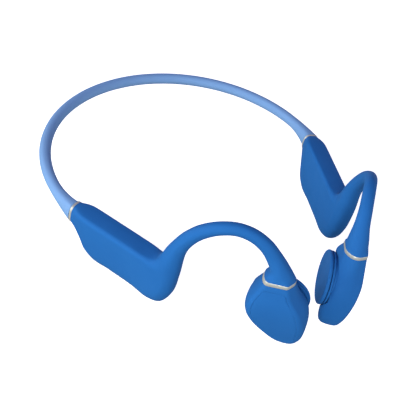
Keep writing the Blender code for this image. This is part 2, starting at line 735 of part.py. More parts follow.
def make_underside(skin):
    """Controls, socket, light and microphone on the underside of the right pod."""
    low, high = SLOT_HEIGHTS
    for name, s in (("volume_down", DOWN_S), ("volume_up", UP_S)):
        cut(skin, slot(name + "_slot", s, BUTTON))
        make_button(name + "_button_right", s)
        block(name + "_switch_right", keel_frame(s), *KEY_SWITCH, "chip_epoxy", -1)

    frame = keel_frame(SOCKET_S)
    cut(skin, slot("socket_slot", SOCKET_S, SOCKET))
    socket = prism("charge_socket_right", frame, pill(*SOCKET), RECESS, SOCKET_TOP, "black_nylon", -1)
    for number, along in ((1, -CONTACT_PITCH / 2), (2, CONTACT_PITCH / 2)):
        pin_frame = np.array([frame[0] + frame[1] * along, *frame[1:]])
        cut(socket, pin("bore_" + str(number), pin_frame, CONTACT_BORE, low, SOCKET_TOP + 1, "gold", True))
        name = "charge_contact_" + str(number) + "_right"
        pin(name, pin_frame, CONTACT_RADIUS, RECESS + 0.05, SOCKET_TOP + GAP, "gold")

    cut(skin, pin("light_hole", keel_frame(LIGHT_S), LIGHT_HOLE, low, high, "light_pipe", True))
    cut(skin, pin("microphone_hole", keel_frame(MIC_S), MIC_HOLE, low, high, "steel", True))
    pin("status_light_right", keel_frame(LIGHT_S), LIGHT_RADIUS, RECESS, high + 0.5, "light_pipe")
    pin("microphone_right", keel_frame(MIC_S), MIC_RADIUS, high + 0.2, high + 1.3, "steel")


# ---------------------------------------------------------------- transducer

def pad_frame():
    """Frame on the pad's face: forwards, up, and out of the pad towards the cheekbone."""
    normal = np.array(PAD_NORMAL, float)
    normal /= np.linalg.norm(normal)
    forward = np.cross((0.0, 0.0, 1.0), normal)
    return frame_of(np.array(PAD_CENTRE), forward, np.cross(normal, forward))


def capsule_inside(name, side, wall):
    """The capsule's shape with its wall taken off, which ends short of the bottom."""
    travel = travel_along(CAPSULE_STATIONS)
    rings = sections(CAPSULE_STATIONS, 22, 2, wall, 0.0, travel[-2] / travel[-1])
    return loft(name, rings, "skin_silicone", side, True)


def panel_outline(inset):
    """Outline of the flat outer face, in (s, z), set in from its creases."""
    travel = travel_along(CAPSULE_STATIONS)
    places = travel[-1] * np.linspace(*PANEL_SHARES, 7)
    front, rear = [], []
    for row in smooth_rows(CAPSULE_STATIONS, travel, places):
        crown, keel = row[0:2], row[2:4]
        height = np.linalg.norm(keel - crown)
        down = (keel - crown) / height
        front.append(crown + down * (row[5] * height + inset))
        rear.append(crown + down * (row[15] * height - inset))
    shrink = inset - PANEL_INSET
    front[0], rear[0] = front[0] + (0.0, -shrink), rear[0] + (0.0, -shrink)
    front[-1], rear[-1] = front[-1] + (0.0, shrink), rear[-1] + (0.0, shrink)
    return [tuple(p - (PANEL_FRAME_S, 0.0)) for p in front + rear[::-1]]


def panel_prism(name, side, inset, floor):
    """Helper with the outer face's outline, which reaches inwards to the given n."""
    _, forward, _ = plan(PANEL_FRAME_S)
    frame = frame_of(place(PANEL_FRAME_S, 0.0, 0.0), (*forward, 0.0), (0.0, 0.0, 1.0))
    return prism(name, frame, panel_outline(inset), -PANEL_REACH, -floor, "skin_silicone", side, True)


def make_panel(name, side, tag):
    """Outer face: a plate that follows the capsule's wall, with a lip behind the opening's edge."""
    plate = loft(name, sections(CAPSULE_STATIONS, 22, 2), "skin_silicone", side)
    keep_common(plate, panel_prism("panel_edge_" + tag, side, PANEL_INSET, PLATE_FLOOR))
    lip = capsule_inside("lip_" + tag, side, CAPSULE_WALL + 0.4)
    keep_common(lip, panel_prism("lip_edge_" + tag, side, PANEL_INSET - PANEL_LIP, LIP_FLOOR))
    join(plate, lip)
    cut(plate, capsule_inside("panel_back_" + tag, side, CAPSULE_WALL + 1.1))


def make_capsule(side, tag):
    """Hollow capsule with a neck and a seat for the pad, and an opening for the outer face."""
    travel = travel_along(CAPSULE_STATIONS)
    outer = sections(CAPSULE_STATIONS, 24, 2)
    inner = sections(CAPSULE_STATIONS, 22, 2, CAPSULE_WALL, 0.0, travel[-2] / travel[-1])
    shell = pipe("capsule_shell_" + tag, outer, inner, "skin_silicone", side, closed=True)
    frame = pad_frame()
    neck = turned("neck_" + tag, frame, NECK, "skin_silicone", side, 28, PAD_SQUASH, helper=True)
    join(shell, neck)
    seat = turned("seat_" + tag, frame, PAD_SEAT, "skin_silicone", side, 28, PAD_SQUASH, helper=True)
    cut(shell, seat, panel_prism("opening_" + tag, side, PANEL_INSET - GAP, OPENING_FLOOR))


def make_transducer(side, tag):
    """Pad, drive plate and coil, which shake as one, in front of a spring plate, magnet and yoke."""
    frame = pad_frame()
    turned("pad_" + tag, frame, PAD, "skin_silicone", side, 32, PAD_SQUASH)
    turned("pad_surround_" + tag, frame, SURROUND, "skin_silicone", side, 32, PAD_SQUASH, hollow=True)
    turned("drive_plate_" + tag, frame, DRIVE_PLATE, "steel", side, 24, PAD_SQUASH)
    turned("voice_coil_" + tag, frame, COIL, "copper", side, 24, hollow=True)
    turned("spring_plate_" + tag, frame, SPRING_PLATE, "steel", side, 24, PAD_SQUASH, hollow=True)
    yoke = turned("yoke_" + tag, frame, YOKE, "steel", side, 24)
    cut(yoke, turned("yoke_well_" + tag, frame, YOKE_WELL, "steel", side, 24, helper=True))
    turned("magnet_" + tag, frame, MAGNET, "magnet", side, 24)


def main():
    clear_scene()
    for side, tag in ((1, "left"), (-1, "right")):
        make_neckband(side, tag)
        make_collar_ring(side, tag)
        skin = make_arm_skin(side, tag)
        make_trim_ring(side, tag)
        make_hook_wires(side, tag)
        make_chassis(side, tag)
        make_capsule(side, tag)
        make_transducer(side, tag)
        if tag == "left":
            make_left_contents()
            make_panel("face_cover_left", side, tag)
        else:
            make_right_contents()
            make_underside(skin)
            make_panel("multifunction_button_right", side, tag)
            block("multifunction_switch_right", pad_frame(), *FACE_SWITCH, "chip_epoxy", -1)


main()
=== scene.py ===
"""Looks of wrap-around bone conduction headphones: fine meshes, silicone and metal, light.

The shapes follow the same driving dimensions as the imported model, with more sections and points.
Lengths are in millimetres and angles in degrees; mesh_piece() turns millimetres into metres. Each
side is worked out once, for the wearer's left (+X), and mirrored for the right.

Arm coordinates: s runs forward along the arm's path seen from above, n is the distance outwards
from that path, and z is the height above the plane of the neckband.
"""

import json
import math

import bmesh
import bpy
import numpy as np
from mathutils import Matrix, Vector


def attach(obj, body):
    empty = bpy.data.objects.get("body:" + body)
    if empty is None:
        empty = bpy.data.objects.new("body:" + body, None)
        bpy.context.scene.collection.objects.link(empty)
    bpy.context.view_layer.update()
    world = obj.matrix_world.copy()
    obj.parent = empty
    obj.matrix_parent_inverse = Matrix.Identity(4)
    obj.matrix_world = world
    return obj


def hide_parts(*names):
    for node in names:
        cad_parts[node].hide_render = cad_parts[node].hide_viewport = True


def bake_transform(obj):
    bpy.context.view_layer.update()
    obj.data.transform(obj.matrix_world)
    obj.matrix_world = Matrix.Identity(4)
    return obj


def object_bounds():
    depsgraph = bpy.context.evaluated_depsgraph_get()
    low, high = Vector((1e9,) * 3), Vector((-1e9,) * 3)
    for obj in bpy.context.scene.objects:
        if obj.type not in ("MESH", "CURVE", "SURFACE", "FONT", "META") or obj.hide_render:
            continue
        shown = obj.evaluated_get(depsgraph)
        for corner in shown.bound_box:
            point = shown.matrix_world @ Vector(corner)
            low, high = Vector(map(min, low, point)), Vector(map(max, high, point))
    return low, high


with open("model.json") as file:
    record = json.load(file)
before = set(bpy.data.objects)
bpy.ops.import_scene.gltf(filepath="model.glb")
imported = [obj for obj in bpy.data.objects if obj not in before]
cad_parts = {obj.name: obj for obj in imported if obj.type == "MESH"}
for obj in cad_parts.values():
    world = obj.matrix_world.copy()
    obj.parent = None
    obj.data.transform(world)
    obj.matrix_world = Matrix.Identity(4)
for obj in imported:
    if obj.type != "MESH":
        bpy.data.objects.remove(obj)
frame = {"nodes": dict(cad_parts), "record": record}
cad_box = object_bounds()

METRES = 0.001

# Neckband: half an ellipse, seen from above
BAND_HALF_WIDTH = 63.5
BAND_HALF_DEPTH = 60.3
BAND_CENTRE_Y = 10.0
SLEEVE_RADIUS = 2.5
FLARE_LENGTH = 17.0
FLARE_POWER = 1.7
COLLAR_SHIFT = -0.5
COLLAR_TOP = 3.7
COLLAR_BOTTOM = -5.6
BORE_HALF_WIDTH = 0.85
BORE_HALF_HEIGHT = 1.55
WIRE_RADIUS = 0.45
WIRE_OFFSET = 0.8

# Path of an arm, seen from above: straight, then bent inwards over the ear, then straight again
ARM_START = (61.7, 0.0)
POD_HEADING = 21.0
HOOK_HEADING = 46.0
BEND_START = 50.5
BEND_LENGTH = 15.0

# Walls, seams and rings
SKIN_WALL = 1.2
CAPSULE_WALL = 1.1
COLLAR_RING = 0.95
COLLAR_RING_EDGE = 0.12
COLLAR_RING_BORE = 0.1
TRIM_RING_WALL = 1.3
RING_PROUD = 0.08
RING_SUNK = 0.02
SEAM = 0.05
SLEEVE_END = 0.25

# Underside of the right pod: stations along the arm
SOCKET_S = 14.8
LIGHT_S = 20.7
DOWN_S = 26.5
UP_S = 34.7
MIC_S = 39.8
KEEL_N = -0.75
KEEL_Z = -19.45
KEEL_SLOPE = 0.038
KEEL_MIDDLE = 28.0
KEEL_DEPTH = 0.1
BUTTON = (6.6, 2.4)
BUTTON_MARGIN = 0.21
BUTTON_LAYERS = (0.15, 3.1)
BUTTON_EDGE = 0.3
MARK_LENGTH = 1.5
MARK_WIDTH = 0.3
MARK_LAYERS = (0.08, 0.4)
MARK_CORNER = 0.12
SOCKET = (8.0, 3.0)
SOCKET_MARGIN = 0.15
SOCKET_LAYERS = (0.15, 2.6)
SOCKET_EDGE = 0.2
CONTACT_OFFSET = 2.0
WELL_WIDTH = 1.8
WELL_LAYERS = (-1.0, 4.0)
LIGHT_HOLE = 1.5
MIC_HOLE = 1.0
SLOT_LAYERS = (-2.0, 2.3)
CONTACT_PIN = [(0.35, 0.2), (0.6, 0.28), (0.7, 0.45), (0.7, 2.9)]
LIGHT_LENS = [(0.3, 0.08), (0.5, 0.16), (0.6, 0.35), (0.6, 2.8)]

# Transducer: the pad's centre and the direction it faces
PAD_CENTRE = (10.5, -71.75, 0.1)
PAD_NORMAL = (-0.772, 0.634, 0.05)
PAD_RADIUS = 11.7
PAD_EDGE = 0.75
PAD_SQUASH = 0.92

# Turned round the pad's axis, as (radius, height from the pad's face)
PAD_BORE = [(8.87, -8.8), (8.87, -2.93), (12.1, -2.93), (12.1, 2.0)]
PAD_NECK = [
    (8.9, -8.2), (9.8, -8.2), (10.5, -5.4), (10.65, -4.2),
    (10.65, -3.3), (10.5, -2.9), (8.9, -2.9),
]
PAD_LAYER = [
    (8.3, -1.75), (11.15, -1.75), (11.4, -1.82), (11.5, -2.0),
    (11.5, -2.4), (11.4, -2.58), (11.15, -2.65), (8.3, -2.65),
]
PAD_BACK = [(7.6, -3.0), (7.6, -1.43), (11.3, -1.43), (11.56, -1.34), (PAD_RADIUS, -1.1)]
PAD_FACE = [(10.0, 0.0), (6.0, 0.0), (2.0, 0.0)]

# Outer face of the capsule: where it starts and ends along the capsule, and its edge
PANEL_TOP = 0.075
PANEL_BOTTOM = 0.86
PANEL_INSET = 0.12
PANEL_GAP = 0.03
PANEL_EDGE = 0.10
PANEL_DEPTH = 1.9
PANEL_FRONT_CORNER = 1.5
PANEL_REAR_CORNER = 0.9
PANEL_LOWER_CORNER = 3.0
PANEL_LEAST = 0.06

# Points on a rounded corner, and sections along a part
FINE = 8
ARM_RINGS = 170
ARM_HOLLOW_RINGS = 60
BAND_RINGS = 150
WIRE_RINGS = 60
PANEL_COLUMNS = 13
BAND_STEPS = 400
SHARP_ANGLE = 38
MERGE_DISTANCE = 5e-6

# Coarse sections that find the model's lowest and foremost points
COARSE = 2
COARSE_ARM_RINGS = 60
COARSE_CAPSULE_RINGS = 40

# Sky: colour by height, from 0 straight down to 1 overhead, bright only near the horizon
SKY = [
    (0.38, (0.20, 0.20, 0.22)),
    (0.46, (1.0, 1.0, 1.0)),
    (0.55, (1.0, 1.0, 1.0)),
    (0.66, (0.13, 0.12, 0.20)),
    (1.0, (0.09, 0.07, 0.27)),
]
SKY_STRENGTH = 0.95
FLOOR_GLOW = 0.85

# Three round softboxes at one height: direction of each as an angle from +X, and power
SOFTBOXES = ((-138.0, 5.1), (-63.0, 1.1), (157.0, 5.6))
SOFTBOX_ELEVATION = 21.0
SOFTBOX_DISTANCE = 0.9
SOFTBOX_SIZE = 0.6
FLOOR_REACH = 3.0
FLOOR_DROP = 0.0005

# Camera: where it stands in the model's own millimetres, its turns about X, Y and Z, and its lens
CAMERA_AT = (-231.10, -251.65, 274.43)
CAMERA_TURN = (48.527, -10.76, -34.222)
LENS = 87.445
SENSOR = 36.0


# ---------------------------------------------------------------- curves and outlines

def plan(s):
    """Point, forward direction and outward direction, seen from above, at distance s along the arm."""
    first, last = math.radians(POD_HEADING), math.radians(HOOK_HEADING)
    turn = (last - first) / BEND_LENGTH
    bent = min(max(s - BEND_START, 0.0), BEND_LENGTH)
    heading = first + turn * bent
    x, y = ARM_START
    straight = min(s, BEND_START)
    x -= math.sin(first) * straight
    y -= math.cos(first) * straight
    x += (math.cos(heading) - math.cos(first)) / turn
    y -= (math.sin(heading) - math.sin(first)) / turn
    rest = max(s - BEND_START - BEND_LENGTH, 0.0)
    x -= math.sin(heading) * rest
    y -= math.cos(heading) * rest
    forward = (-math.sin(heading), -math.cos(heading))
    outward = (math.cos(heading), -math.sin(heading))
    return (x, y), forward, outward


def place(s, n, z):
    """Arm coordinates to a point."""
    (x, y), _, outward = plan(s)
    return np.array([x + outward[0] * n, y + outward[1] * n, z])


def smooth_rows(rows, travel, places):
    """Rows of numbers read off a smooth curve through the given rows, at the given distances along it."""
    rows = np.array(rows, float)
    last = len(rows) - 1
    slopes = np.zeros_like(rows)
    slopes[0] = (rows[1] - rows[0]) / (travel[1] - travel[0])
    slopes[last] = (rows[last] - rows[last - 1]) / (travel[last] - travel[last - 1])
    for i in range(1, last):
        before, after = travel[i] - travel[i - 1], travel[i + 1] - travel[i]
        slope_in = (rows[i] - rows[i - 1]) / before
        slope_out = (rows[i + 1] - rows[i]) / after
        slopes[i] = (slope_in * after + slope_out * before) / (before + after)
    read = []
    for at in places:
        i = min(max(int(np.searchsorted(travel, at, side="right")) - 1, 0), last - 1)
        step = travel[i + 1] - travel[i]
        x = (at - travel[i]) / step
        read.append(
            (2 * x**3 - 3 * x**2 + 1) * rows[i]
            + (x**3 - 2 * x**2 + x) * step * slopes[i]
            + (3 * x**2 - 2 * x**3) * rows[i + 1]
            + (x**3 - x**2) * step * slopes[i + 1]
        )
    return np.array(read)


def rounded(corners, cuts, steps):
    """Closed outline through corners, each cut back by its distance and rounded like an arc."""
    bow = 0.5523
    corners = np.array(corners, float)
    points = []
    for i, corner in enumerate(corners):
        before, after = corners[i - 1], corners[(i + 1) % len(corners)]
        to_before, to_after = np.linalg.norm(before - corner), np.linalg.norm(after - corner)
        start = corner + (before - corner) / to_before * min(cuts[i], 0.499 * to_before)
        end = corner + (after - corner) / to_after * min(cuts[i], 0.499 * to_after)
        handle_in = start + (corner - start) * bow
        handle_out = end + (corner - end) * bow
        for j in range(steps + 1):
            t = j / steps
            points.append(
                (1 - t) ** 3 * start
                + 3 * (1 - t) ** 2 * t * handle_in
                + 3 * (1 - t) * t * t * handle_out
                + t**3 * end
            )
    return np.array(points)


# ---------------------------------------------------------------- sections of the arm and capsule

# A profile is a section's six corners and how far each is rounded. A corner is (n, fraction of the
# way down from crown to keel), in the order outer ridge, crown, inner ridge, inner edge, keel,
# outer edge.
COLLAR = (
    [(3.5, 0.10), (0.4, -0.01), (-3.2, 0.08), (-3.5, 0.88), (0.3, 1.0), (3.8, 0.88)],
    [2.2, 2.5, 2.2, 3, 3, 3],
)
POD = (
    [(5.6, 0.03), (0.8, 0), (-4.15, 0), (-4.4, 0.90), (-0.9, 1.02), (3.0, 0.90)],
    [1.9, 3.0, 1.4, 3.2, 4.5, 3.2],
)
POD_FRONT = (
    [(5.5, 0.03), (0.8, 0), (-4.1, 0), (-4.4, 0.90), (-0.5, 1.02), (4.1, 0.90)],
    [1.9, 3.0, 1.6, 3.2, 4.5, 3.2],
)
HOOK_END = (
    [(5.6, 0.26), (0.9, -0.01), (-3.5, 0.26), (-4.6, 0.90), (0.2, 1.01), (4.9, 0.91)],
    [0.8, 4, 2.0, 2.5, 3, 1.6],
)


def round_profile(half_width, shift=0.0):
    """A hexagon rounded until it is an ellipse."""
    upper, lower = 0.5 - 0.5 * 0.577, 0.5 + 0.5 * 0.577
    right, left = shift + half_width, shift - half_width
    corners = [(right, upper), (shift, -0.077), (left, upper)]
    corners += [(left, lower), (shift, 1.077), (right, lower)]
    return corners, [9.0] * 6


def mixed(first, second, share):
    """Blend of two profiles."""
    corners = np.array(first[0]) * (1 - share) + np.array(second[0]) * share
    cuts = np.array(first[1]) * (1 - share) + np.array(second[1]) * share
    return corners, cuts


def station(crown, keel, profile):
    """One row of numbers: crown (s, z), keel (s, z), six corners and six cuts."""
    return [*crown, *keel, *np.ravel(profile[0]), *profile[1]]


# The pod: its rear edge slopes down from the collar, and its front corner turns up into the hook
def keel_height(s):
    """Height of the underside of the pod, which drops slightly towards the front."""
    return KEEL_Z - KEEL_SLOPE * (s - KEEL_MIDDLE)


POD_STATIONS = [
    station((0.0, COLLAR_TOP), (0.0, COLLAR_BOTTOM), COLLAR),
    station((1.6, 3.95), (2.6, -8.4), mixed(COLLAR, POD, 0.4)),
    station((3.4, 4.05), (5.8, -12.9), mixed(COLLAR, POD, 0.75)),
    station((5.6, 4.05), (8.2, -16.9), mixed(COLLAR, POD, 0.95)),
    station((8.6, 4.0), (11.2, keel_height(11.2)), POD),
    station((18.0, 3.95), (21.0, keel_height(21.0)), POD),
    station((30.0, 3.85), (33.0, keel_height(33.0)), POD),
    station((36.5, 3.75), (41.5, keel_height(41.5)), mixed(POD, POD_FRONT, 0.6)),
    station((40.5, 4.2), (46.8, -17.4), mixed(POD_FRONT, round_profile(4.6, 1.0), 0.1)),
    station((42.3, 6.3), (50.1, -10.8), mixed(POD_FRONT, round_profile(4.5, 1.1), 0.35)),
    station((43.4, 9.6), (51.3, -2.0), mixed(POD_FRONT, round_profile(4.25, 1.15), 0.65)),
]

# The hook's centre line (s, z), half height, half width, sideways shift and share of its end shape
HOOK = [
    (48.7, 13.5, 3.6, 3.7, 0.6, 0.0),
    (51.9, 20.9, 3.05, 3.15, 0.4, 0.0),
    (56.8, 27.4, 2.8, 2.9, 0.15, 0.0),
    (62.3, 31.3, 2.65, 2.7, -0.1, 0.0),
    (68.2, 32.9, 2.6, 2.6, -0.3, 0.0),
    (74.3, 32.1, 2.65, 2.65, -0.35, 0.0),
    (80.2, 28.9, 2.85, 2.7, -0.15, 0.05),
    (84.4, 24.4, 3.2, 3.0, 0.0, 0.16),
    (87.3, 20.4, 3.9, 3.7, 0.1, 0.45),
]
HOOK_LAST = ((95.5, 17.2), (82.3, 15.7))
CAPSULE_FIRST = ((95.75, 15.65), (81.95, 13.75))


def hook_stations():
    """The hook's stations: crown and keel lie across its centre line."""
    centre = np.array([row[:2] for row in HOOK])
    last = (np.array(HOOK_LAST[0]) + np.array(HOOK_LAST[1])) / 2
    path = np.vstack([(46.0, 6.0), centre, last])
    found = []
    for i, (s, z, half_height, half_width, shift, share) in enumerate(HOOK):
        along = path[i + 2] - path[i]
        across = np.array([-along[1], along[0]]) / np.linalg.norm(along) * half_height
        shape = mixed(round_profile(half_width, shift), HOOK_END, share)
        found.append(station((s, z) + across, (s, z) - across, shape))
    return found


ARM_STATIONS = POD_STATIONS + hook_stations() + [station(*HOOK_LAST, HOOK_END)]

# The capsule: from the trim ring down to its rounded bottom. Its flat outer face widens downwards
# between two soft creases, and its inner side leans to meet the pad.
CAPSULE_STATIONS = [
    station(*CAPSULE_FIRST, HOOK_END),
    station((98.8, 10.6), (80.0, 8.6), (
        [(6.4, 0.23), (0.5, 0), (-4.0, 0.18), (-6.4, 0.94), (0.3, 1.01), (5.4, 0.93)],
        [1.0, 4, 2.4, 3, 4, 1.2])),
    station((102.6, 5.2), (78.6, 4.0), (
        [(7.0, 0.17), (0.2, 0), (-4.9, 0.10), (-5.3, 0.95), (0.3, 1.01), (5.8, 0.95)],
        [1.2, 4, 2.6, 3, 4, 1.3])),
    station((104.4, -0.4), (78.6, -1.4), (
        [(6.6, 0.12), (-0.2, 0), (-5.8, 0.07), (-4.2, 0.94), (0.3, 1.01), (5.5, 0.95)],
        [1.5, 4, 2.8, 3, 4, 1.6])),
    station((104.8, -6.2), (81.5, -6.8), (
        [(5.6, 0.09), (-0.4, 0), (-6.8, 0.06), (-4.2, 0.93), (0.2, 1.01), (4.7, 0.94)],
        [1.8, 4, 3, 3, 4, 2.0])),
    station((104.2, -11.6), (86.9, -11.7), (
        [(4.3, 0.08), (-0.7, 0), (-6.4, 0.07), (-4.6, 0.92), (0.0, 1.01), (3.8, 0.93)],
        [2.2, 4, 3, 3, 4, 2.2])),
    station((102.6, -14.8), (91.7, -14.9), (
        [(3.3, 0.09), (-1.0, 0), (-5.6, 0.09), (-4.8, 0.90), (-0.5, 1.01), (3.1, 0.91)],
        [2.4, 4, 3, 3, 4, 2.4])),
    station((99.8, -16.25), (94.9, -16.05), (
        [(2.3, 0.10), (-1.1, 0), (-4.4, 0.12), (-4.2, 0.88), (-1.1, 1.01), (2.2, 0.9)],
        [2, 2, 2, 2, 2, 2])),
]


def travel_along(stations):
    """Mean distance that crown and keel have covered at each station."""
    ends = np.array(stations)[:, :4]
    steps = np.diff(ends, axis=0)
    lengths = np.hypot(steps[:, 0], steps[:, 1]) + np.hypot(steps[:, 2], steps[:, 3])
    return np.concatenate([[0.0], np.cumsum(lengths) / 2])


def walled(row, height, wall):
    """A station's corners as (outwards, down), pulled in by a wall, and their cuts."""
    corners, cuts = np.array(row[4:16]).reshape(6, 2), row[16:]
    middle = (corners[:, 0].max() + corners[:, 0].min()) / 2
    half = (corners[:, 0].max() - corners[:, 0].min()) / 2
    across = middle + (corners[:, 0] - middle) * (half - wall) / half
    down = (0.5 + (corners[:, 1] - 0.5) * (height - 2 * wall) / height) * height
    return np.column_stack([across, down]), cuts


def section(row, steps, wall=0.0):
    """Outline, in space, of one section, or of the hollow inside it when it has a wall."""
    crown_s, crown_z, keel_s, keel_z = row[:4]
    height = math.hypot(keel_s - crown_s, keel_z - crown_z)
    outline = rounded(*walled(row, height, wall), steps)
    to_keel_s, to_keel_z = (keel_s - crown_s) / height, (keel_z - crown_z) / height
    return np.array([place(crown_s + to_keel_s * d, n, crown_z + to_keel_z * d) for n, d in outline])


def sections(stations, count, steps, wall=0.0):
    """Sections spread evenly over the stations' length."""
    travel = travel_along(stations)
    places = np.linspace(0.0, travel[-1], count)
    return [section(row, steps, wall) for row in smooth_rows(stations, travel, places)]


# ---------------------------------------------------------------- the neckband's sections

def band_point(angle):
    """Point on the ellipse of the neckband's centre line."""
    y = BAND_CENTRE_Y + math.sin(angle) * BAND_HALF_DEPTH
    return np.array([math.cos(angle) * BAND_HALF_WIDTH, y])


def band_frames(count):
    """Centre, outward direction and flare (0 to 1) at even steps from the back to the collar."""
    end_angle = math.asin(-BAND_CENTRE_Y / BAND_HALF_DEPTH)
    angles = np.linspace(math.pi / 2, end_angle, BAND_STEPS)
    points = np.array([band_point(angle) for angle in angles])
    travel = np.concatenate([[0.0], np.cumsum(np.linalg.norm(np.diff(points, axis=0), axis=1))])
    stop = travel[-1] - COLLAR_RING - 2 * SEAM + SLEEVE_END
    heading = math.radians(POD_HEADING)
    pod_out = np.array([math.cos(heading), -math.sin(heading)])
    frames = []
    for at in np.linspace(0.0, stop, count):
        angle = float(np.interp(at, travel, angles))
        centre = band_point(angle)
        out = np.array([math.cos(angle) * BAND_HALF_DEPTH, math.sin(angle) * BAND_HALF_WIDTH])
        out /= np.linalg.norm(out)
        flare = max(0.0, 1 - (travel[-1] - at) / FLARE_LENGTH) ** FLARE_POWER
        out = out * (1 - flare) + pod_out * flare
        out /= np.linalg.norm(out)
        frames.append((centre + out * COLLAR_SHIFT * flare, out, flare))
    return frames


def band_sections(count, steps):
    """Sections of the sleeve, which flare into the collar."""
    found = []
    for centre, out, flare in band_frames(count):
        corners, cuts = mixed(round_profile(SLEEVE_RADIUS), COLLAR, flare)
        crown = SLEEVE_RADIUS + (COLLAR_TOP - SLEEVE_RADIUS) * flare
        keel = -SLEEVE_RADIUS + (COLLAR_BOTTOM + SLEEVE_RADIUS) * flare
        outline = rounded([(n, crown + (keel - crown) * q) for n, q in corners], cuts, steps)
        found.append(np.array([[*(centre + out * n), z] for n, z in outline]))
    return found


def bore_sections(count, steps):
    """The oval hole through the sleeve for the spring wire and the cable."""
    found = []
    corners, cuts = round_profile(BORE_HALF_WIDTH)
    for centre, out, _ in band_frames(count):
        outline = rounded([(n, BORE_HALF_HEIGHT * (1 - 2 * q)) for n, q in corners], cuts, steps)
        found.append(np.array([[*(centre + out * n), z] for n, z in outline]))
    return found


# ---------------------------------------------------------------- where the origin lies

def rest_offset():
    """Moves the model so that the origin is under the middle of its box, on the table."""
    arm = sections(ARM_STATIONS, COARSE_ARM_RINGS, COARSE)
    capsule = sections(CAPSULE_STATIONS, COARSE_CAPSULE_RINGS, COARSE)
    lowest = min(ring[:, 2].min() for ring in arm)
    front = min(ring[:, 1].min() for ring in capsule)
    back = BAND_CENTRE_Y + BAND_HALF_DEPTH + SLEEVE_RADIUS
    return np.array([0.0, -(front + back) / 2, -lowest])


OFFSET = rest_offset()


# ---------------------------------------------------------------- meshes

def mesh_piece(name, points, faces, finish, body, side=1):
    """Piece from points in millimetres, mirrored when side is -1, which rides on a CAD body."""
    mesh = bpy.data.meshes.new(name)
    moved = (np.array(points, float) + OFFSET) * np.array([side, 1, 1]) * METRES
    mesh.from_pydata([tuple(p) for p in moved], [], faces)
    builder = bmesh.new()
    builder.from_mesh(mesh)
    bmesh.ops.remove_doubles(builder, verts=builder.verts, dist=MERGE_DISTANCE)
    bmesh.ops.recalc_face_normals(builder, faces=builder.faces)
    if builder.calc_volume(signed=True) < 0:
        bmesh.ops.reverse_faces(builder, faces=builder.faces)
    builder.to_mesh(mesh)
    builder.free()
    mesh.shade_smooth()
    mesh.set_sharp_from_angle(angle=math.radians(SHARP_ANGLE))
    if finish:
        mesh.materials.append(finish)
    obj = bpy.data.objects.new(name, mesh)
    bpy.context.scene.collection.objects.link(obj)
    if body:
        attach(obj, body)
    return obj


def skin_faces(rings, around, first=0):
    """Four-sided faces between neighbouring rings of points."""
    faces = []
    for k in range(rings - 1):
        for i in range(around):
            a = first + k * around + i
            b = first + k * around + (i + 1) % around
            faces.append((a, b, b + around, a + around))
    return faces


def loft(name, rings, finish, body, side=1):
    """Solid through closed sections, with flat ends."""
    around = len(rings[0])
    faces = skin_faces(len(rings), around)
    faces.append(tuple(range(around)))
    faces.append(tuple(range((len(rings) - 1) * around, len(rings) * around)))
    return mesh_piece(name, np.concatenate(rings), faces, finish, body, side)


def pipe(name, outer, inner, finish, body, side=1):
    """Shell between outer and inner sections, open at both ends."""
    around = len(outer[0])
    shift = len(outer) * around
    faces = skin_faces(len(outer), around) + skin_faces(len(inner), around, shift)
    outer_end = (len(outer) - 1) * around
    inner_end = shift + (len(inner) - 1) * around
    for i in range(around):
        j = (i + 1) % around
        faces.append((i, j, shift + j, shift + i))
        faces.append((outer_end + i, outer_end + j, inner_end + j, inner_end + i))
    return mesh_piece(name, np.concatenate(list(outer) + list(inner)), faces, finish, body, side)


def tube(path, radius, sides):
    """Sections of a round bar along a path."""
    path = np.array(path)
    rings = []
    for k, centre in enumerate(path):
        along = path[min(k + 1, len(path) - 1)] - path[max(k - 1, 0)]
        along /= np.linalg.norm(along)
        flat = np.cross(along, (0.0, 0.0, 1.0))
        flat /= np.linalg.norm(flat)
        up = np.cross(flat, along)
        turns = np.linspace(0, 2 * math.pi, sides, endpoint=False)
        ring = [centre + radius * (math.cos(t) * flat + math.sin(t) * up) for t in turns]
        rings.append(np.array(ring))
    return rings


def frame_of(centre, along, out):
    """Rows: origin, and unit vectors along, out and up, square to each other."""
    along = np.array(along, float)
    along /= np.linalg.norm(along)
    out = np.array(out, float)
    out -= along * out.dot(along)
    out /= np.linalg.norm(out)
    return np.array([centre, along, out, np.cross(along, out)])


def in_frame(axes, points):
    """Points given along a frame, placed in space."""
    return np.array([axes[0] + axes[1] * a + axes[2] * b + axes[3] * c for a, b, c in points])


def turned_rings(axes, profile, sides, squash=1.0):
    """One ring for each (radius, height), squashed along its second direction."""
    turns = np.linspace(0, 2 * math.pi, sides, endpoint=False)
    rings = []
    for radius, height in profile:
        points = [(radius * math.cos(t), radius * squash * math.sin(t), height) for t in turns]
        rings.append(in_frame(axes, points))
    return rings


def turned(name, axes, profile, finish, body, side, sides, squash=1.0):
    """Solid turned about the frame's third direction; the profile lists (radius, height)."""
    return loft(name, turned_rings(axes, profile, sides, squash), finish, body, side)


def turned_ring(name, axes, profile, finish, body, side, sides, squash=1.0):
    """Ring turned about the frame's third direction; the profile closes on itself."""
    rings = turned_rings(axes, profile + profile[:1], sides, squash)
    faces = skin_faces(len(rings), sides)
    return mesh_piece(name, np.concatenate(rings), faces, finish, body, side)


def pill(length, width, steps=8):
    """Outline of a slot with round ends."""
    corners = [(length / 2, width / 2), (-length / 2, width / 2)]
    corners += [(-length / 2, -width / 2), (length / 2, -width / 2)]
    return rounded(corners, [width / 2] * 4, steps)


def stacked(name, axes, layers, finish, body, side=1):
    """Solid from (outline, height) layers in a frame's first two directions."""
    rings = [in_frame(axes, [(a, b, height) for a, b in outline]) for outline, height in layers]
    return loft(name, rings, finish, body, side)


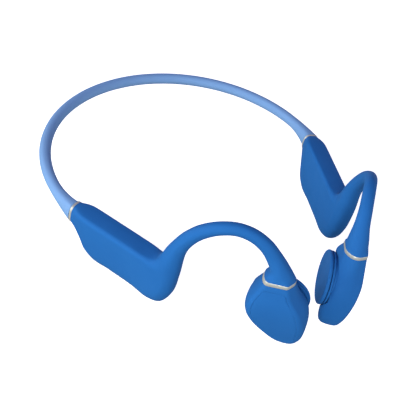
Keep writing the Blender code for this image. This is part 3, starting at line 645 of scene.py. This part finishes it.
def cut(obj, *cutters):
    """Boolean cut, applied, after which the cutters are removed."""
    for cutter in cutters:
        modifier = obj.modifiers.new("cut", "BOOLEAN")
        modifier.operation = "DIFFERENCE"
        modifier.object = cutter
    bpy.context.view_layer.update()
    graph = bpy.context.evaluated_depsgraph_get()
    mesh = bpy.data.meshes.new_from_object(obj.evaluated_get(graph))
    obj.modifiers.clear()
    obj.data = mesh
    mesh.set_sharp_from_angle(angle=math.radians(SHARP_ANGLE))
    for cutter in cutters:
        bpy.data.objects.remove(cutter)


# ---------------------------------------------------------------- materials

def linear(red, green, blue):
    """Colour of a surface from the eight-bit numbers a picture would show."""
    found = []
    for value in (red, green, blue):
        value /= 255
        found.append(value / 12.92 if value <= 0.04045 else ((value + 0.055) / 1.055) ** 2.4)
    return (*found, 1.0)


def start_material(name):
    """New material, its nodes and links, and its shader."""
    made = bpy.data.materials.new(name)
    made.use_nodes = True
    nodes, links = made.node_tree.nodes, made.node_tree.links
    return made, nodes, links, nodes["Principled BSDF"]


def noise(nodes, links, scale, detail=3.0, stretch=(1, 1, 1)):
    """Noise in object space, in metres, which a stretch squeezes along one axis."""
    place_node = nodes.new("ShaderNodeTexCoord")
    mapping = nodes.new("ShaderNodeMapping")
    mapping.inputs["Scale"].default_value = stretch
    texture = nodes.new("ShaderNodeTexNoise")
    texture.inputs["Scale"].default_value = scale
    texture.inputs["Detail"].default_value = detail
    links.new(place_node.outputs["Object"], mapping.inputs["Vector"])
    links.new(mapping.outputs["Vector"], texture.inputs["Vector"])
    return texture.outputs["Fac"]


def remap(nodes, links, value, low, high):
    """Moves the middle of a noise's range to between low and high."""
    node = nodes.new("ShaderNodeMapRange")
    node.inputs["From Min"].default_value = 0.3
    node.inputs["From Max"].default_value = 0.7
    node.inputs["To Min"].default_value = low
    node.inputs["To Max"].default_value = high
    links.new(value, node.inputs["Value"])
    return node.outputs["Result"]


def mix_colours(nodes, links, factor, first, second):
    """Blend of two colours; sockets 6, 7 and 2 are the node's colour inputs and output."""
    node = nodes.new("ShaderNodeMix")
    node.data_type = "RGBA"
    links.new(factor, node.inputs["Factor"])
    node.inputs[6].default_value = first
    node.inputs[7].default_value = second
    return node.outputs[2]


def bumps(nodes, links, shader, *heights):
    """Bumps from (height, strength, distance in metres), the coarsest first."""
    normal = None
    for height, strength, distance in heights:
        node = nodes.new("ShaderNodeBump")
        node.inputs["Strength"].default_value = strength
        node.inputs["Distance"].default_value = distance
        links.new(height, node.inputs["Height"])
        if normal:
            links.new(normal, node.inputs["Normal"])
        normal = node.outputs["Normal"]
    links.new(normal, shader.inputs["Normal"])


def silicone(name, colour, deep, roughness):
    """Soft moulded silicone: a velvety sheen, faint cloudiness and a very fine grain."""
    made, nodes, links, shader = start_material(name)
    cloud = remap(nodes, links, noise(nodes, links, 60.0, 4.0), 0.0, 1.0)
    links.new(mix_colours(nodes, links, cloud, colour, deep), shader.inputs["Base Color"])
    patch = noise(nodes, links, 140.0, 5.0)
    dull = remap(nodes, links, patch, roughness - 0.04, roughness + 0.05)
    links.new(dull, shader.inputs["Roughness"])
    grain = noise(nodes, links, 4200.0, 2.0)
    dimple = noise(nodes, links, 900.0, 2.0)
    bumps(nodes, links, shader, (dimple, 0.10, 0.00006), (grain, 0.22, 0.00003))
    shader.inputs["Specular IOR Level"].default_value = 0.08
    shader.inputs["Specular Tint"].default_value = (0.30, 0.62, 1.0, 1.0)
    shader.inputs["Sheen Weight"].default_value = 0.10
    shader.inputs["Sheen Roughness"].default_value = 0.35
    shader.inputs["Sheen Tint"].default_value = (0.20, 0.62, 1.0, 1.0)
    return made


def metal(name, colour, shade, roughness, stretch=(1, 1, 1), scale=800.0):
    """Bare or plated metal with fine drawn lines."""
    made, nodes, links, shader = start_material(name)
    lines = noise(nodes, links, scale, 4.0, stretch)
    shares = remap(nodes, links, lines, 0, 1)
    links.new(mix_colours(nodes, links, shares, colour, shade), shader.inputs["Base Color"])
    dull = remap(nodes, links, lines, roughness - 0.06, roughness + 0.08)
    links.new(dull, shader.inputs["Roughness"])
    bumps(nodes, links, shader, (lines, 0.25, 0.00003))
    shader.inputs["Metallic"].default_value = 1.0
    return made


def plastic(name, colour, shade, roughness, scale=1500.0, strength=0.2):
    """Moulded plastic, epoxy or lacquer with a fine spark-eroded grain."""
    made, nodes, links, shader = start_material(name)
    cloud = remap(nodes, links, noise(nodes, links, 200.0, 3.0), 0, 1)
    links.new(mix_colours(nodes, links, cloud, colour, shade), shader.inputs["Base Color"])
    dull = remap(nodes, links, cloud, roughness - 0.05, roughness + 0.05)
    links.new(dull, shader.inputs["Roughness"])
    bumps(nodes, links, shader, (noise(nodes, links, scale, 2.0), strength, 0.00004))
    return made


BAND = silicone("band_silicone", (0.200, 0.372, 0.650, 1), (0.186, 0.354, 0.626, 1), 0.50)
SKIN = silicone("skin_silicone", (0.021, 0.144, 0.425, 1), (0.019, 0.134, 0.403, 1), 0.52)
RING = plastic("ring_finish", linear(202, 204, 192), linear(192, 194, 182), 0.38, 2600.0, 0.3)
RING.node_tree.nodes["Principled BSDF"].inputs["Metallic"].default_value = 0.35
TITANIUM = metal("titanium_wire", (0.42, 0.41, 0.39, 1), (0.34, 0.33, 0.32, 1), 0.34, (1, 1, 0.1))
JACKET = plastic("cable_jacket", (0.012, 0.012, 0.014, 1), (0.018, 0.018, 0.02, 1), 0.5)
NYLON = plastic("black_nylon", (0.013, 0.013, 0.015, 1), (0.02, 0.02, 0.022, 1), 0.55)
FOIL = metal("battery_foil", (0.62, 0.63, 0.66, 1), (0.5, 0.51, 0.54, 1), 0.36, scale=300.0)
BOARD = plastic("circuit_board", (0.006, 0.07, 0.03, 1), (0.004, 0.05, 0.02, 1), 0.34, 600.0)
EPOXY = plastic("chip_epoxy", (0.012, 0.012, 0.013, 1), (0.02, 0.02, 0.021, 1), 0.46)
COPPER = metal("copper", (0.66, 0.29, 0.15, 1), (0.5, 0.2, 0.1, 1), 0.34)
GOLD = metal("gold_contact", (0.8, 0.55, 0.2, 1), (0.72, 0.48, 0.17, 1), 0.26)
STEEL = metal("plated_steel", (0.52, 0.52, 0.53, 1), (0.42, 0.42, 0.43, 1), 0.3, (1, 1, 0.15))
MAGNET = metal("magnet_metal", (0.36, 0.36, 0.38, 1), (0.28, 0.28, 0.3, 1), 0.36)
LIGHT_PIPE = plastic("light_pipe", (0.75, 0.82, 0.88, 1), (0.68, 0.76, 0.84, 1), 0.18, 900.0, 0.05)
LIGHT_PIPE.node_tree.nodes["Principled BSDF"].inputs["Transmission Weight"].default_value = 0.5

SLOT_FINISH = {
    "band_silicone": BAND,
    "skin_silicone": SKIN,
    "ring_metal": RING,
    "titanium_wire": TITANIUM,
    "cable_jacket": JACKET,
    "black_nylon": NYLON,
    "battery_foil": FOIL,
    "circuit_board": BOARD,
    "chip_epoxy": EPOXY,
    "copper": COPPER,
    "gold_contact": GOLD,
    "plated_steel": STEEL,
    "magnet_metal": MAGNET,
    "light_pipe": LIGHT_PIPE,
}


def finish_nodes():
    """Each CAD node takes the finish of its slot."""
    for entry in frame["record"]["subparts"]:
        node = frame["nodes"][entry["node"]]
        node.data.materials.clear()
        node.data.materials.append(SLOT_FINISH[entry["material_slot"]])


# ---------------------------------------------------------------- neckband and rings

def mirrored(rings):
    """The same sections on the other side, in reverse order."""
    return [ring * np.array([-1.0, 1.0, 1.0]) for ring in rings[::-1]]


def make_neckband():
    """One silicone sleeve from collar to collar, with the spring wire and the cable in its bore."""
    outer, inner = band_sections(BAND_RINGS, FINE), bore_sections(BAND_RINGS, FINE)
    outer = mirrored(outer)[:-1] + outer
    inner = mirrored(inner)[:-1] + inner
    sleeve = pipe("neckband", outer, inner, BAND, None)
    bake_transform(sleeve)
    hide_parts("neckband_sleeve_left", "neckband_sleeve_right")
    for name, height, finish in (("wire", WIRE_OFFSET, TITANIUM), ("cable", -WIRE_OFFSET, JACKET)):
        path = [np.array([*centre, height]) for centre, _, _ in band_frames(WIRE_RINGS)]
        path += [place(s, 0.0, height) for s in (0.5, 1.8, 3.0, 4.3, 5.6)]
        path = [p * np.array([-1.0, 1.0, 1.0]) for p in path[:0:-1]] + path
        core = loft("neckband_" + name, tube(path, WIRE_RADIUS, 12), finish, None)
        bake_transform(core)
        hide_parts("neckband_" + name + "_left", "neckband_" + name + "_right")


def crowned(sections_at, spans):
    """Sections of a thin ring, a little proud in the middle of its width."""
    rises = (-RING_SUNK, RING_PROUD * 0.8, RING_PROUD, RING_PROUD * 0.8, -RING_SUNK)
    return [sections_at(share, -rise) for share, rise in zip(spans, rises)]


def make_collar_ring(side, tag):
    """Metal-look ring between the neckband's flare and the pod."""
    def ring_section(s, wall):
        return section(station((s, COLLAR_TOP), (s, COLLAR_BOTTOM), COLLAR), FINE, wall)

    corners, cuts = round_profile(BORE_HALF_WIDTH + COLLAR_RING_BORE)
    tall = BORE_HALF_HEIGHT + COLLAR_RING_BORE
    hole = rounded([(n, tall * (1 - 2 * q)) for n, q in corners], cuts, FINE)
    low, high = -SEAM - COLLAR_RING, -SEAM
    spans = [low, low + COLLAR_RING_EDGE, (low + high) / 2, high - COLLAR_RING_EDGE, high]
    outer = crowned(ring_section, spans)
    inner = [np.array([place(s, n, z) for n, z in hole]) for s in (low, high)]
    ring = pipe("collar_band_" + tag, outer, inner, RING, tag + "_half", side)
    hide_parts("collar_ring_" + tag)


def make_trim_ring(side, tag):
    """Angular ring between the hook and the capsule."""
    def ring_section(share, wall):
        ends = np.array(HOOK_LAST) * (1 - share) + np.array(CAPSULE_FIRST) * share
        return section(station(ends[0], ends[1], HOOK_END), FINE, wall)

    outer = crowned(ring_section, [0.03, 0.11, 0.5, 0.89, 0.97])
    inner = [ring_section(share, TRIM_RING_WALL) for share in (0.03, 0.97)]
    ring = pipe("trim_band_" + tag, outer, inner, RING, tag + "_half", side)
    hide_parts("trim_ring_" + tag)


# ---------------------------------------------------------------- arm

def keel_frame(s):
    """Frame on the underside of the pod: along the arm, outwards, up."""
    _, forward, outward = plan(s)
    at = place(s, KEEL_N, keel_height(s) + KEEL_DEPTH)
    return frame_of(at, (*forward, -KEEL_SLOPE), (*outward, 0.0))


def make_arm(side, tag):
    """Silicone skin of pod and hook in one piece."""
    outer = sections(ARM_STATIONS, ARM_RINGS, FINE)
    inner = sections(ARM_STATIONS, ARM_HOLLOW_RINGS, FINE, SKIN_WALL)
    arm = pipe("arm_" + tag, outer, inner, SKIN, tag + "_half", side)
    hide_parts("arm_skin_" + tag)
    return arm


def cutter(name, axes, outline, low, high):
    """Prism that cuts an opening, or a contact's well, on the right side."""
    return stacked(name, axes, [(outline, low), (outline, high)], None, None, -1)


def softened(size, low, high, edge):
    """Layers of a pill with a rounded lower edge."""
    layers = []
    for inset, rise in ((1.0, 0.0), (0.55, 0.1), (0.2, 0.4), (0.0, 1.0)):
        shrink = 2 * edge * inset
        layers.append((pill(size[0] - shrink, size[1] - shrink), low + edge * rise))
    layers.append((pill(*size), high))
    return layers


def make_volume_key(sign, s):
    """Rubber key with a raised plus or minus on it."""
    axes = keel_frame(s)
    name = "volume_" + sign
    layers = softened(BUTTON, *BUTTON_LAYERS, BUTTON_EDGE)
    key = stacked(name + "_key", axes, layers, SKIN, name + "_key", -1)
    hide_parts(name + "_button_right")
    bars = [(MARK_LENGTH, MARK_WIDTH)]
    if sign == "up":
        bars.append((MARK_WIDTH, MARK_LENGTH))
    for number, (length, width) in enumerate(bars):
        corners = [(length / 2, width / 2), (-length / 2, width / 2)]
        corners += [(-length / 2, -width / 2), (length / 2, -width / 2)]
        outline = rounded(corners, [MARK_CORNER] * 4, 3)
        layers = [(outline, height) for height in MARK_LAYERS]
        mark_name = name + "_mark_" + str(number)
        mark = stacked(mark_name, axes, layers, SKIN, name + "_key", -1)


def make_underside(arm):
    """Openings, keys, socket, light and microphone under the right pod."""
    button_hole = pill(BUTTON[0] + 2 * BUTTON_MARGIN, BUTTON[1] + 2 * BUTTON_MARGIN)
    socket_hole = pill(SOCKET[0] + 2 * SOCKET_MARGIN, SOCKET[1] + 2 * SOCKET_MARGIN)
    holes = [
        ("up_slot", UP_S, button_hole),
        ("down_slot", DOWN_S, button_hole),
        ("socket_slot", SOCKET_S, socket_hole),
        ("light_hole", LIGHT_S, pill(LIGHT_HOLE, LIGHT_HOLE)),
        ("microphone_hole", MIC_S, pill(MIC_HOLE, MIC_HOLE)),
    ]
    cut(arm, *[cutter(name, keel_frame(s), outline, *SLOT_LAYERS) for name, s, outline in holes])
    make_volume_key("up", UP_S)
    make_volume_key("down", DOWN_S)

    axes = keel_frame(SOCKET_S)
    layers = softened(SOCKET, *SOCKET_LAYERS, SOCKET_EDGE)
    body = stacked("socket_body", axes, layers, NYLON, "right_half", -1)
    pin_frames = []
    for along in (-CONTACT_OFFSET, CONTACT_OFFSET):
        pin_frames.append(np.array([axes[0] + axes[1] * along, *axes[1:]]))
    well = pill(WELL_WIDTH, WELL_WIDTH)
    cut(body, *[cutter("well", pin_axes, well, *WELL_LAYERS) for pin_axes in pin_frames])
    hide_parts("charge_socket_right")
    for number, pin_axes in enumerate(pin_frames, 1):
        name = "contact_pin_" + str(number)
        pin = turned(name, pin_axes, CONTACT_PIN, GOLD, "right_half", -1, 32)
        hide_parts("charge_contact_" + str(number) + "_right")
    lens_axes = keel_frame(LIGHT_S)
    lens = turned("status_lens", lens_axes, LIGHT_LENS, LIGHT_PIPE, "right_half", -1, 32)
    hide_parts("status_light_right")


# ---------------------------------------------------------------- transducer

def pad_frame():
    """Frame on the pad's face: forwards, up, and out of the pad towards the cheekbone."""
    normal = np.array(PAD_NORMAL, float)
    normal /= np.linalg.norm(normal)
    forward = np.cross((0.0, 0.0, 1.0), normal)
    return frame_of(np.array(PAD_CENTRE), forward, np.cross(normal, forward))


def corner_inset(distance, radius):
    """Extra inset that rounds a corner, at a distance from the end of a side."""
    if distance >= radius:
        return 0.0
    return radius - math.sqrt(radius**2 - (radius - distance) ** 2)


def capsule_ring(row, wall, extra_front, extra_rear, columns):
    """One section of the capsule in (s, n, z), with columns across its flat outer face."""
    crown, keel = row[0:2], row[2:4]
    height = np.linalg.norm(keel - crown)
    points, cuts = walled(row, height, wall)
    outline = rounded(points, cuts, FINE)
    front, rear = points[0], points[5]
    edge = front - rear
    length = np.linalg.norm(edge)
    first = min(0.5 - PANEL_LEAST, (cuts[5] + PANEL_INSET + extra_rear) / length)
    last = max(0.5 + PANEL_LEAST, 1 - (cuts[0] + PANEL_INSET + extra_front) / length)
    flat = [rear + edge * share for share in np.linspace(first, last, columns)]
    outline = np.vstack([outline, flat])
    along = (keel - crown) / height
    ring = []
    for n, d in outline:
        s, z = crown + along * d
        ring.append((s, n, z))
    return np.array(ring)


def capsule_rings(places, wall, inset, columns):
    """Sections of the capsule; inset pulls the outer face's side edges in."""
    travel = travel_along(CAPSULE_STATIONS)
    top, bottom = PANEL_TOP * travel[-1], PANEL_BOTTOM * travel[-1]
    found = []
    for at, row in zip(places, smooth_rows(CAPSULE_STATIONS, travel, places)):
        within = min(max(at, top), bottom)
        lower = corner_inset(bottom - within, PANEL_LOWER_CORNER)
        front = corner_inset(within - top, PANEL_FRONT_CORNER) + lower
        rear = corner_inset(within - top, PANEL_REAR_CORNER) + lower
        found.append(capsule_ring(row, wall, front + inset, rear + inset, columns))
    return found


def to_space(ring):
    """Points given as (s, n, z), placed in space."""
    return np.array([place(s, n, z) for s, n, z in ring])


def pulled(ring_points, centre, distance, depth):
    """Points of the outer face's edge moved outwards from its centre, and sunk into the capsule."""
    moved = []
    for s, n, z in ring_points:
        away = np.array([s, z]) - centre
        away *= distance / np.linalg.norm(away)
        moved.append((s + away[0], n - depth, z + away[1]))
    return np.array(moved)


def make_capsule(side, tag):
    """Hollow capsule with an opening for its outer face, and a bore and a seat for the pad."""
    travel = travel_along(CAPSULE_STATIONS)
    whole, top, bottom = travel[-1], PANEL_TOP * travel[-1], PANEL_BOTTOM * travel[-1]
    columns = PANEL_COLUMNS
    spans = [(0, top, 8), (top, top + 2.6, 12), (top + 2.6, bottom - 5, 26), (bottom - 5, bottom, 16)]
    places = [np.linspace(*span)[:-1] for span in spans]
    places = np.concatenate([*places, np.linspace(bottom, whole, 12)])
    # The hollow ends higher than the outside
    shorter = (travel[-2] - bottom) / (whole - bottom)
    inner_places = [at if at < bottom else bottom + (at - bottom) * shorter for at in places]
    outer = capsule_rings(places, 0.0, 0.0, columns)
    inner = capsule_rings(inner_places, CAPSULE_WALL, 0.0, columns)
    around, count = len(outer[0]), len(outer)
    first_ring = int(np.argmin(abs(places - top)))
    last_ring = int(np.argmin(abs(places - bottom)))
    first_column = around - columns

    def in_opening(k, i):
        return first_ring <= k < last_ring and first_column <= i < around - 1

    end = outer[-1]
    middle = end.mean(axis=0)
    dome = []
    for share, drop in ((0.86, 0.22), (0.62, 0.42), (0.32, 0.55)):
        dome.append(middle + (end - middle) * share - np.array([0, 0, drop]))
    outer_points = [to_space(ring) for ring in outer + dome]
    inner_points = [to_space(ring) for ring in inner]
    faces = []
    shift = len(outer_points) * around
    for start, rings in ((0, len(outer_points)), (shift, count)):
        for k in range(rings - 1):
            for i in range(around):
                if not in_opening(k, i):
                    a = start + k * around + i
                    b = start + k * around + (i + 1) % around
                    faces.append((a, b, b + around, a + around))
    for i in range(around):
        j = (i + 1) % around
        faces.append((i, j, shift + j, shift + i))
    faces.append(tuple(range(shift - around, shift)))
    faces.append(tuple(range(shift + (count - 1) * around, shift + count * around)))

    loop = [(first_ring, i) for i in range(first_column, around)]
    loop += [(k, around - 1) for k in range(first_ring + 1, last_ring + 1)]
    loop += [(last_ring, i) for i in range(around - 2, first_column - 1, -1)]
    loop += [(k, first_column) for k in range(last_ring - 1, first_ring, -1)]
    edge = np.array([outer[k][i] for k, i in loop])
    centre = edge[:, (0, 2)].mean(axis=0)
    lip = pulled(edge, centre, -PANEL_EDGE * 0.7, PANEL_EDGE * 0.3)
    rim = pulled(edge, centre, -PANEL_EDGE, PANEL_EDGE)
    lip_start = shift + count * around
    rim_start = lip_start + len(loop)
    for a in range(len(loop)):
        b = (a + 1) % len(loop)
        top_a, top_b = loop[a][0] * around + loop[a][1], loop[b][0] * around + loop[b][1]
        faces.append((top_a, top_b, lip_start + b, lip_start + a))
        faces.append((lip_start + a, lip_start + b, rim_start + b, rim_start + a))
        faces.append((rim_start + a, rim_start + b, shift + top_b, shift + top_a))
    points = np.concatenate(outer_points + inner_points + [to_space(lip), to_space(rim)])
    shell = mesh_piece("capsule_" + tag, points, faces, SKIN, tag + "_half", side)
    cut(shell, turned("bore", pad_frame(), PAD_BORE, None, None, side, 90, PAD_SQUASH))
    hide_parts("capsule_shell_" + tag)
    make_panel(side, tag, places, first_ring, last_ring, columns)


def make_panel(side, tag, places, first_ring, last_ring, columns):
    """Outer face: a plate that continues the capsule's surface inside the opening.

    The plate's edge and skirt overlap the wall of the opening.
    """
    inset = 2 * PANEL_EDGE + PANEL_GAP
    spots = np.array(places[first_ring:last_ring + 1])
    spots[0] += inset
    spots[-1] -= inset
    spots = np.sort(spots)
    rings = capsule_rings(spots, 0.0, inset, columns)
    grid = [ring[-columns:] for ring in rings]
    rows = len(grid)
    faces = []
    for k in range(rows - 1):
        for i in range(columns - 1):
            a = k * columns + i
            faces.append((a, a + 1, a + 1 + columns, a + columns))
    loop = list(range(columns))
    loop += [k * columns + columns - 1 for k in range(1, rows)]
    loop += [(rows - 1) * columns + i for i in range(columns - 2, -1, -1)]
    loop += [k * columns for k in range(rows - 2, 0, -1)]
    flat = np.concatenate(grid)
    edge = flat[loop]
    centre = edge[:, (0, 2)].mean(axis=0)
    layers = [
        pulled(edge, centre, PANEL_EDGE * 0.7, PANEL_EDGE * 0.3),
        pulled(edge, centre, PANEL_EDGE, PANEL_EDGE),
        pulled(edge, centre, PANEL_EDGE, PANEL_DEPTH),
    ]
    before = loop
    start = len(flat)
    for layer in layers:
        after = list(range(start, start + len(layer)))
        for a in range(len(loop)):
            b = (a + 1) % len(loop)
            faces.append((before[a], before[b], after[b], after[a]))
        before, start = after, start + len(layer)
    faces.append(tuple(before))
    points = np.concatenate([to_space(flat)] + [to_space(layer) for layer in layers])
    if tag == "left":
        plate = mesh_piece("face_plate_left", points, faces, SKIN, "left_half", side)
        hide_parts("face_cover_left")
    else:
        plate = mesh_piece("multifunction_face", points, faces, SKIN, "multifunction_key", side)
        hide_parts("multifunction_button_right")


def make_pad(side, tag):
    """Neck on the capsule, the layer behind the pad, and the pad with its softly rounded edge."""
    axes = pad_frame()
    ring = turned_ring("pad_neck_" + tag, axes, PAD_NECK, SKIN, tag + "_half", side, 96, PAD_SQUASH)
    body = tag + "_half"
    surround = turned_ring("pad_layer_" + tag, axes, PAD_LAYER, SKIN, body, side, 128, PAD_SQUASH)
    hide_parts("pad_surround_" + tag)
    profile = list(PAD_BACK)
    for turn in range(0, 91, 15):
        angle = math.radians(turn)
        radius = PAD_RADIUS - PAD_EDGE * (1 - math.cos(angle))
        profile.append((radius, PAD_EDGE * (math.sin(angle) - 1)))
    profile += PAD_FACE
    pad = turned("cheek_pad_" + tag, axes, profile, SKIN, tag + "_pad", side, 128, PAD_SQUASH)
    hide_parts("pad_" + tag)


# ---------------------------------------------------------------- stage

def make_stage():
    """Plain white floor, soft light all round that is weaker from above, and three softboxes."""
    floor = bpy.data.meshes.new("floor")
    corners = [(-1, -1), (1, -1), (1, 1), (-1, 1)]
    floor.from_pydata([(x * FLOOR_REACH, y * FLOOR_REACH, 0) for x, y in corners], [], [(0, 1, 2, 3)])
    made, nodes, links, shader = start_material("floor_white")
    tone = remap(nodes, links, noise(nodes, links, 2.0), 0.0, 1.0)
    white = mix_colours(nodes, links, tone, (0.93, 0.93, 0.93, 1), (0.95, 0.95, 0.95, 1))
    links.new(white, shader.inputs["Base Color"])
    shader.inputs["Roughness"].default_value = 0.9
    shader.inputs["Emission Color"].default_value = (1.0, 1.0, 1.0, 1.0)
    shader.inputs["Emission Strength"].default_value = FLOOR_GLOW
    floor.materials.append(made)
    obj = bpy.data.objects.new("floor", floor)
    bpy.context.scene.collection.objects.link(obj)
    obj.location = (0, 0, -FLOOR_DROP)
    obj.visible_diffuse = False
    obj.visible_glossy = False

    world = bpy.data.worlds.new("studio")
    bpy.context.scene.world = world
    world.use_nodes = True
    nodes, links = world.node_tree.nodes, world.node_tree.links
    direction = nodes.new("ShaderNodeTexCoord")
    parts = nodes.new("ShaderNodeSeparateXYZ")
    ramp = nodes.new("ShaderNodeValToRGB")
    links.new(direction.outputs["Generated"], parts.inputs["Vector"])
    height = nodes.new("ShaderNodeMapRange")
    height.inputs["From Min"].default_value = -1.0
    links.new(parts.outputs["Z"], height.inputs["Value"])
    links.new(height.outputs["Result"], ramp.inputs["Fac"])
    links.new(ramp.outputs["Color"], nodes["Background"].inputs["Color"])
    steps = ramp.color_ramp
    steps.elements[0].position = SKY[0][0]
    steps.elements[1].position = SKY[-1][0]
    for level, _ in SKY[1:-1]:
        steps.elements.new(level)
    for element, (_, brightness) in zip(steps.elements, SKY):
        element.color = (*brightness, 1.0)
    nodes["Background"].inputs["Strength"].default_value = SKY_STRENGTH

    middle = Vector((0.0, 0.0, cad_box[1][2] / 2))
    for number, (azimuth, power) in enumerate(SOFTBOXES):
        turn, tilt = math.radians(azimuth), math.radians(SOFTBOX_ELEVATION)
        flat = math.cos(tilt)
        way = Vector((math.cos(turn) * flat, math.sin(turn) * flat, math.sin(tilt)))
        add_area("softbox_" + str(number), middle + way * SOFTBOX_DISTANCE, middle, SOFTBOX_SIZE, power)


def add_area(name, at, towards, size, power):
    """Round area light at a point, aimed at another."""
    light = bpy.data.lights.new(name, "AREA")
    light.shape = "DISK"
    light.size = size
    light.energy = power
    lamp = bpy.data.objects.new(name, light)
    lamp.location = at
    lamp.rotation_euler = (Vector(at) - Vector(towards)).to_track_quat("Z", "Y").to_euler()
    bpy.context.scene.collection.objects.link(lamp)


def make_camera():
    """Long lens from the front right, above, with the plain colour transform."""
    camera = bpy.data.cameras.new("camera")
    camera.sensor_width = SENSOR
    camera.lens = LENS
    camera.clip_start = 0.01
    obj = bpy.data.objects.new("camera", camera)
    obj.location = (np.array(CAMERA_AT) + OFFSET) * METRES
    obj.rotation_euler = [math.radians(angle) for angle in CAMERA_TURN]
    bpy.context.scene.collection.objects.link(obj)
    bpy.context.scene.camera = obj
    bpy.context.scene.view_settings.view_transform = "Standard"


def main():
    """Every piece, then the stage round it."""
    make_camera()
    finish_nodes()
    make_neckband()
    for side, tag in ((1, "left"), (-1, "right")):
        make_collar_ring(side, tag)
        arm = make_arm(side, tag)
        if tag == "right":
            make_underside(arm)
        make_trim_ring(side, tag)
        make_capsule(side, tag)
        make_pad(side, tag)
    make_stage()


main()
